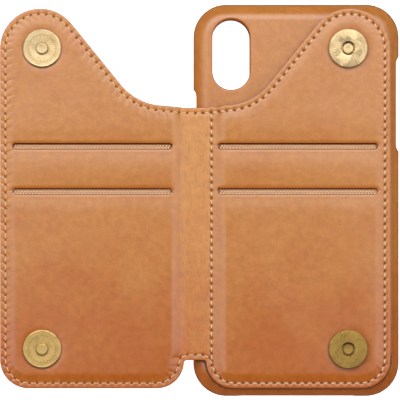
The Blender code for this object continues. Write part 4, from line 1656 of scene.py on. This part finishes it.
class WALLET_OT_pockets(bpy.types.Operator):
    """Make the cloth pocket behind each card slot"""

    bl_idname = "wallet.pockets"
    bl_label = "Card pockets"

    def execute(self, context):
        wallet = context.scene.wallet
        finish = cloth_finish()
        for prefix, side in SIDES.items():
            shape = PanelShape(side, wallet)
            for label, slot_y, bottom in zip(SNAPS, SLOT_HEIGHTS, POCKET_BOTTOMS):
                make_pocket(prefix, label, side, shape, slot_y, bottom, finish)
        return {"FINISHED"}


def make_pocket(prefix, label, side, shape, slot_y, bottom, finish):
    """Cloth that hangs behind a slot and rises to its lower lip, where it's turned under."""
    node = f"{prefix}_{label}_pocket"
    low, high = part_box(node)
    rest_z = low.z
    thick = 0.2 * MM
    inner = min(abs(low.x - FOLD_X), abs(high.x - FOLD_X))
    outer = max(abs(low.x - FOLD_X), abs(high.x - FOLD_X))
    lip = slot_y - shape.panel.slot_opening / 2
    lip_z = shape.top(SLOT_U, lip - 0.3 * MM) - 0.35 * MM
    half = shape.panel.slot_width / 2
    relief = (SNAP_U, shape.snaps[1][1])
    relief_radius = WASHER_RADIUS + 0.3 * MM

    def height(u, y):
        """The cloth's underside: flat on its board, rising behind the slot to the lower lip."""
        beside = smooth((half + 0.2 * MM - abs(u - SLOT_U)) / (1.4 * MM))
        up = smooth((lip + 2.6 * MM - y) / (1.5 * MM))
        up *= smooth((y - lip - 0.02 * MM) / (0.16 * MM))
        return rest_z + (lip_z - rest_z) * up * beside

    def deep(u, y):
        """1 where the cloth lies inside the pocket, where it is painted dark as painted shade, 0
        where it comes out at the lip.
        """
        beside = smooth((abs(u - SLOT_U) - half + 1.6 * MM) / (1.2 * MM))
        beside *= smooth((y - lip - 0.7 * MM) / MM)
        return max(smooth((y - lip - 1.75 * MM) / (0.4 * MM)), beside)

    middle = ((inner + outer) / 2, (high.y + bottom) / 2)
    size = (outer - inner, high.y - bottom)
    corner = 6.0 * MM
    boundary = spaced(
        rounded_rectangle(size[0] / 2, size[1] / 2, corner, middle, 10), 1.0 * MM, closed=True
    )
    hole = circle(relief_radius, relief, 1.0 * MM)
    rows = []
    for rise in CLOTH_RISES:
        y = lip + rise * MM
        rows.append((spaced([(inner + MM, y), (outer - MM, y)], 0.6 * MM), 0.05 * MM))
    rows.append((square_grid((inner, bottom), (outer, high.y), 2.4 * MM), 2.0 * MM))
    points, faces = triangles_between(boundary, [hole], rows)
    obj = two_sided(
        f"{prefix}_{label}_pocket_cloth", points, faces,
        lambda u, y: height(u, y) + thick, height, side, finish, {"deep": deep},
    )
    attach(obj, BODIES[prefix])
    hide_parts(node)
    area = size[0] * size[1] - (4 - pi) * corner**2 - pi * relief_radius**2


class WALLET_OT_snaps(bpy.types.Operator):
    """Turn the magnetic sockets and studs"""

    bl_idname = "wallet.snaps"
    bl_label = "Magnetic snaps"

    def execute(self, context):
        wallet = context.scene.wallet
        snap = wallet.snap
        olive = snap.olive
        # painted light and shade: the upper snaps' pale, lightly tarnished finishes stand in for
        # their lit look, and the lower snaps' warm finishes, the cap heavily tarnished olive, for
        # their shade, on identical brass pieces
        looks = {  # name, brightest colour, tarnish, hatch and worn of each cap and disc
            "upper": (("pale_cap_brass", snap.pale, 0.12, 1.0, 0.4),
                      ("pale_disc_brass", snap.pale, 0.3, 0.1, 0.9)),
            "lower": (("olive_cap_brass", snap.warm, 0.85, 0.45, 1.2),
                      ("warm_disc_brass", snap.warm, 0.25, 0.1, 1.9)),
        }
        ticks = brass_finish("tick_brass", olive, olive, tarnish=1.0, hatch=0.0, worn=2.0)
        for label, pair in looks.items():
            cap, disc = (brass_finish(name, bright, olive, *rest) for name, bright, *rest in pair)
            make_socket(label, snap, cap)
            make_stud(label, snap, disc, ticks)
        return {"FINISHED"}


def middle_of(node):
    """The middle of a node's box, seen from above."""
    low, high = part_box(node)
    return ((low.x + high.x) / 2, (low.y + high.y) / 2)


def rounded(profile, radius, steps=4):
    """A closed (radius, height) profile with each corner off the axis rounded."""
    points = []
    for i, (r, z) in enumerate(profile):
        if r == 0:
            points.append((r, z))
            continue
        before, after = profile[i - 1], profile[(i + 1) % len(profile)]
        corner = Vector((r, z))
        a = Vector(before) - corner
        b = Vector(after) - corner
        reach = min(radius, a.length * 0.45, b.length * 0.45)
        p = corner + a.normalized() * reach
        q = corner + b.normalized() * reach
        for k in range(steps + 1):
            t = k / steps
            mid = (1 - t) ** 2 * p + 2 * t * (1 - t) * corner + t * t * q
            points.append((mid.x, mid.y))
    return points


def make_socket(label, snap, finish):
    """A cap with a bore, and the rivet's core at the bottom of the bore."""
    node = f"{label}_socket_cap"
    low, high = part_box(node)
    centre = middle_of(node)
    radius = (high.x - low.x) / 2
    rivet_low, rivet_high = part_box(f"{label}_socket_rivet")
    bore = 2.5 * MM
    skirt = radius - 0.45 * MM
    plate = 0.35 * MM
    collar = bore + 0.22 * MM
    floor_z = rivet_high.z + 0.1 * MM
    profile = [
        (bore, high.z), (radius, high.z), (radius, low.z), (skirt, low.z),
        (skirt, high.z - plate), (collar, high.z - plate), (collar, floor_z), (bore, floor_z),
    ]
    cap = turned(f"{label}_socket_top", rounded(profile, 0.3 * MM, 5), centre, finish, snap.steps)
    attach(cap, "case")
    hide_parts(node)
    core = min(bore - 0.3 * MM, (rivet_high.x - rivet_low.x) / 2)
    top = rivet_high.z
    under = top - 0.3 * MM
    profile = [
        (0, top - 0.08 * MM), (core * 0.45, top - 0.03 * MM), (core * 0.8, top),
        (core, top - 0.16 * MM), (core, under), (SHANK_RADIUS, under),
        (SHANK_RADIUS, rivet_low.z), (0, rivet_low.z),
    ]
    pin = turned(
        f"{label}_socket_core", rounded(profile[:-1], 0.12 * MM) + [profile[-1]], centre, finish,
        snap.steps,
    )
    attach(pin, "case")
    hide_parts(f"{label}_socket_rivet")


def make_stud(label, snap, finish, mark_finish):
    """A disc with a ring of ticks, and the rivet whose head stands over it."""
    node = f"{label}_stud_disc"
    low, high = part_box(node)
    centre = middle_of(node)
    radius = (high.x - low.x) / 2
    skirt = radius - 0.5 * MM
    hole = 1.25 * MM
    plate = high.z - 0.06 * MM
    profile = [
        (hole, plate), (radius - 0.8 * MM, plate), (radius - 0.5 * MM, high.z),
        (radius, high.z - 0.2 * MM), (radius, low.z), (skirt, low.z),
        (skirt, high.z - 0.4 * MM), (hole, high.z - 0.4 * MM),
    ]
    disc = turned(f"{label}_stud_plate", rounded(profile, 0.16 * MM), centre, finish, snap.steps)
    ticks = tick_ring(f"{label}_stud_ticks", centre, plate, snap.ticks, mark_finish)
    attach(ticks, "flap")
    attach(disc, "flap")
    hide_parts(node)
    stud_low, stud_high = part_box(f"{label}_stud_rivet")
    head = (stud_high.x - stud_low.x) / 2
    under = high.z + 0.02 * MM
    profile = [
        (0, stud_high.z - 0.06 * MM), (head * 0.55, stud_high.z - 0.02 * MM),
        (head * 0.86, stud_high.z), (head, stud_high.z - 0.2 * MM), (head, under),
        (SHANK_RADIUS, under), (SHANK_RADIUS, stud_low.z), (0, stud_low.z),
    ]
    stud = turned(
        f"{label}_stud_head", rounded(profile[:-1], 0.16 * MM) + [profile[-1]], centre, finish,
        snap.steps,
    )
    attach(stud, "flap")
    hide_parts(f"{label}_stud_rivet")


def tick_ring(name, centre, z, count, finish):
    """A plain ring of darkened ticks that stand just proud of the disc."""
    inner, outer, half, tall = 4.6 * MM, 5.6 * MM, 0.15 * MM, 0.04 * MM
    points, faces = [], []
    for k in range(count):
        a = 2 * pi * k / count
        shorter = 0.3 * MM if k % 2 else 0.0
        along = Vector((cos(a), sin(a), 0))
        across = Vector((-sin(a), cos(a), 0))
        first = len(points)
        for height, slim in ((-0.08 * MM, 1.0), (tall, 0.7)):
            for r, w in (
                (inner + shorter, -half), (outer, -half), (outer, half), (inner + shorter, half)
            ):
                middle = Vector((*centre, z + height))
                points.append(middle + along * r + across * w * slim)
        faces.append((first + 3, first + 2, first + 1, first))
        faces.append((first + 4, first + 5, first + 6, first + 7))
        for i in range(4):
            j = (i + 1) % 4
            faces.append((first + i, first + j, first + 4 + j, first + 4 + i))
    return mesh_object(name, points, faces, finish, sharp=35)


class WALLET_OT_insides(bpy.types.Operator):
    """Finish the frame's own pieces: boards, magnets, prongs and washers"""

    bl_idname = "wallet.insides"
    bl_label = "Inner pieces"

    def execute(self, context):
        wallet = context.scene.wallet
        board, magnet = board_finish(), magnet_finish()
        metal = brass_finish("prong_brass", wallet.snap.warm, wallet.snap.olive, 0.3, 0.2, 0.6)
        finishes = {"_board": board, "_magnet": magnet, "_prongs": metal, "_washer": metal}
        for name, node in frame["nodes"].items():
            for ending, finish in finishes.items():
                if name.endswith(ending):
                    node.data.materials.clear()
                    node.data.materials.append(finish)
        return {"FINISHED"}


class WALLET_OT_stage(bpy.types.Operator):
    """Set the floor, the soft light and the camera"""

    bl_idname = "wallet.stage"
    bl_label = "Studio"

    def execute(self, context):
        scene = context.scene
        studio = scene.wallet.studio
        scene.view_settings.view_transform = "Standard"
        make_floor()
        make_sky(studio)
        make_lights(studio)
        make_camera(studio)
        return {"FINISHED"}


def make_floor():
    """White paper that lies just under the case and runs out past the view."""
    finish = Finish("paper_floor")
    tooth = finish.noise(1.5, 3.0)
    base = tooth.between(0.3, 0.7).mix((0.86, 0.86, 0.86), (0.9, 0.9, 0.9))
    finish.set(
        Base_Color=base, Roughness=0.9, Emission_Color=(1.0, 1.0, 1.0), Emission_Strength=0.95,
        Specular_IOR_Level=0.1,
    )
    steps = 48
    turn = [2 * pi * i / steps for i in range(steps)]
    loops = [[(r * cos(a), r * sin(a), -0.05 * MM) for a in turn] for r in (0.2, 0.5, 1.2, 3.0)]
    points, faces = banded(loops, closed=False)
    faces.append(tuple(range(steps)))
    floor = mesh_object("floor", points, faces, finish.material)
    floor.visible_glossy = False


def make_sky(studio):
    world = bpy.data.worlds.new("studio")
    world.use_nodes = True
    bpy.context.scene.world = world
    background = world.node_tree.nodes["Background"]
    background.inputs["Color"].default_value = (1.0, 1.0, 1.0, 1.0)
    background.inputs["Strength"].default_value = studio.sky


def area_light(name, place, aim, size, power):
    data = bpy.data.lights.new(name, "AREA")
    data.shape = "RECTANGLE"
    data.size, data.size_y = size
    data.energy = power
    lamp = bpy.data.objects.new(name, data)
    bpy.context.scene.collection.objects.link(lamp)
    lamp.location = place
    lamp.rotation_euler = (Vector(aim) - Vector(place)).to_track_quat("-Z", "Y").to_euler()
    return lamp


def make_lights(studio):
    area_light("top_softbox", (0.0, 0.285, 0.50), (0.0, 0.03, 0.0), (0.8, 0.34), studio.key)
    for side in (-1, 1):
        place = (side * 0.35, -0.04, 0.50)
        area_light(f"side_softbox_{side}", place, (0.0, 0.0, 0.0), (0.3, 0.6), studio.fill)
    place = (0.0, -0.42, 0.28)
    bounce = area_light("front_card", place, (0.0, 0.0, 0.0), (0.8, 0.3), studio.bounce)
    bounce.visible_glossy = False


def make_camera(studio):
    data = bpy.data.cameras.new("camera")
    data.sensor_width = 36.0
    middle_height = 10.0 * MM
    data.lens = data.sensor_width * (studio.distance - middle_height) / studio.view
    camera = bpy.data.objects.new("camera", data)
    bpy.context.scene.collection.objects.link(camera)
    camera.location = (0.11 * MM, 0.11 * MM, studio.distance)
    bpy.context.scene.camera = camera


# Add-on --------------------------------------------------------------------------------------

OPERATORS = (
    WALLET_OT_shell, WALLET_OT_panels, WALLET_OT_spine, WALLET_OT_seams, WALLET_OT_pockets,
    WALLET_OT_snaps, WALLET_OT_insides, WALLET_OT_stage,
)


class WALLET_PT_panel(bpy.types.Panel):
    """Lists the steps that build the wallet case"""

    bl_idname = "WALLET_PT_panel"
    bl_label = "Wallet case"
    bl_space_type = "VIEW_3D"
    bl_region_type = "UI"
    bl_category = "Wallet case"

    def draw(self, context):
        wallet = context.scene.wallet
        for operator in OPERATORS:
            self.layout.operator(operator.bl_idname)
        groups = (
            wallet.leather, wallet.panel, wallet.seam, wallet.shell, wallet.snap, wallet.studio,
        )
        for group in groups:
            box = self.layout.box()
            for name in group.__annotations__:
                box.prop(group, name)


CLASSES = (
    LeatherSettings, PanelSettings, SeamSettings, ShellSettings, SnapSettings, StudioSettings,
    WalletSettings, *OPERATORS, WALLET_PT_panel,
)


def register():
    for cls in CLASSES:
        bpy.utils.register_class(cls)
    bpy.types.Scene.wallet = PointerProperty(type=WalletSettings)


def unregister():
    del bpy.types.Scene.wallet
    for cls in reversed(CLASSES):
        bpy.utils.unregister_class(cls)


def main():
    register()
    bpy.ops.wallet.shell()
    bpy.ops.wallet.panels()
    bpy.ops.wallet.spine()
    bpy.ops.wallet.seams()
    bpy.ops.wallet.pockets()
    bpy.ops.wallet.snaps()
    bpy.ops.wallet.insides()
    bpy.ops.wallet.stage()


if __name__ == "__main__":
    main()
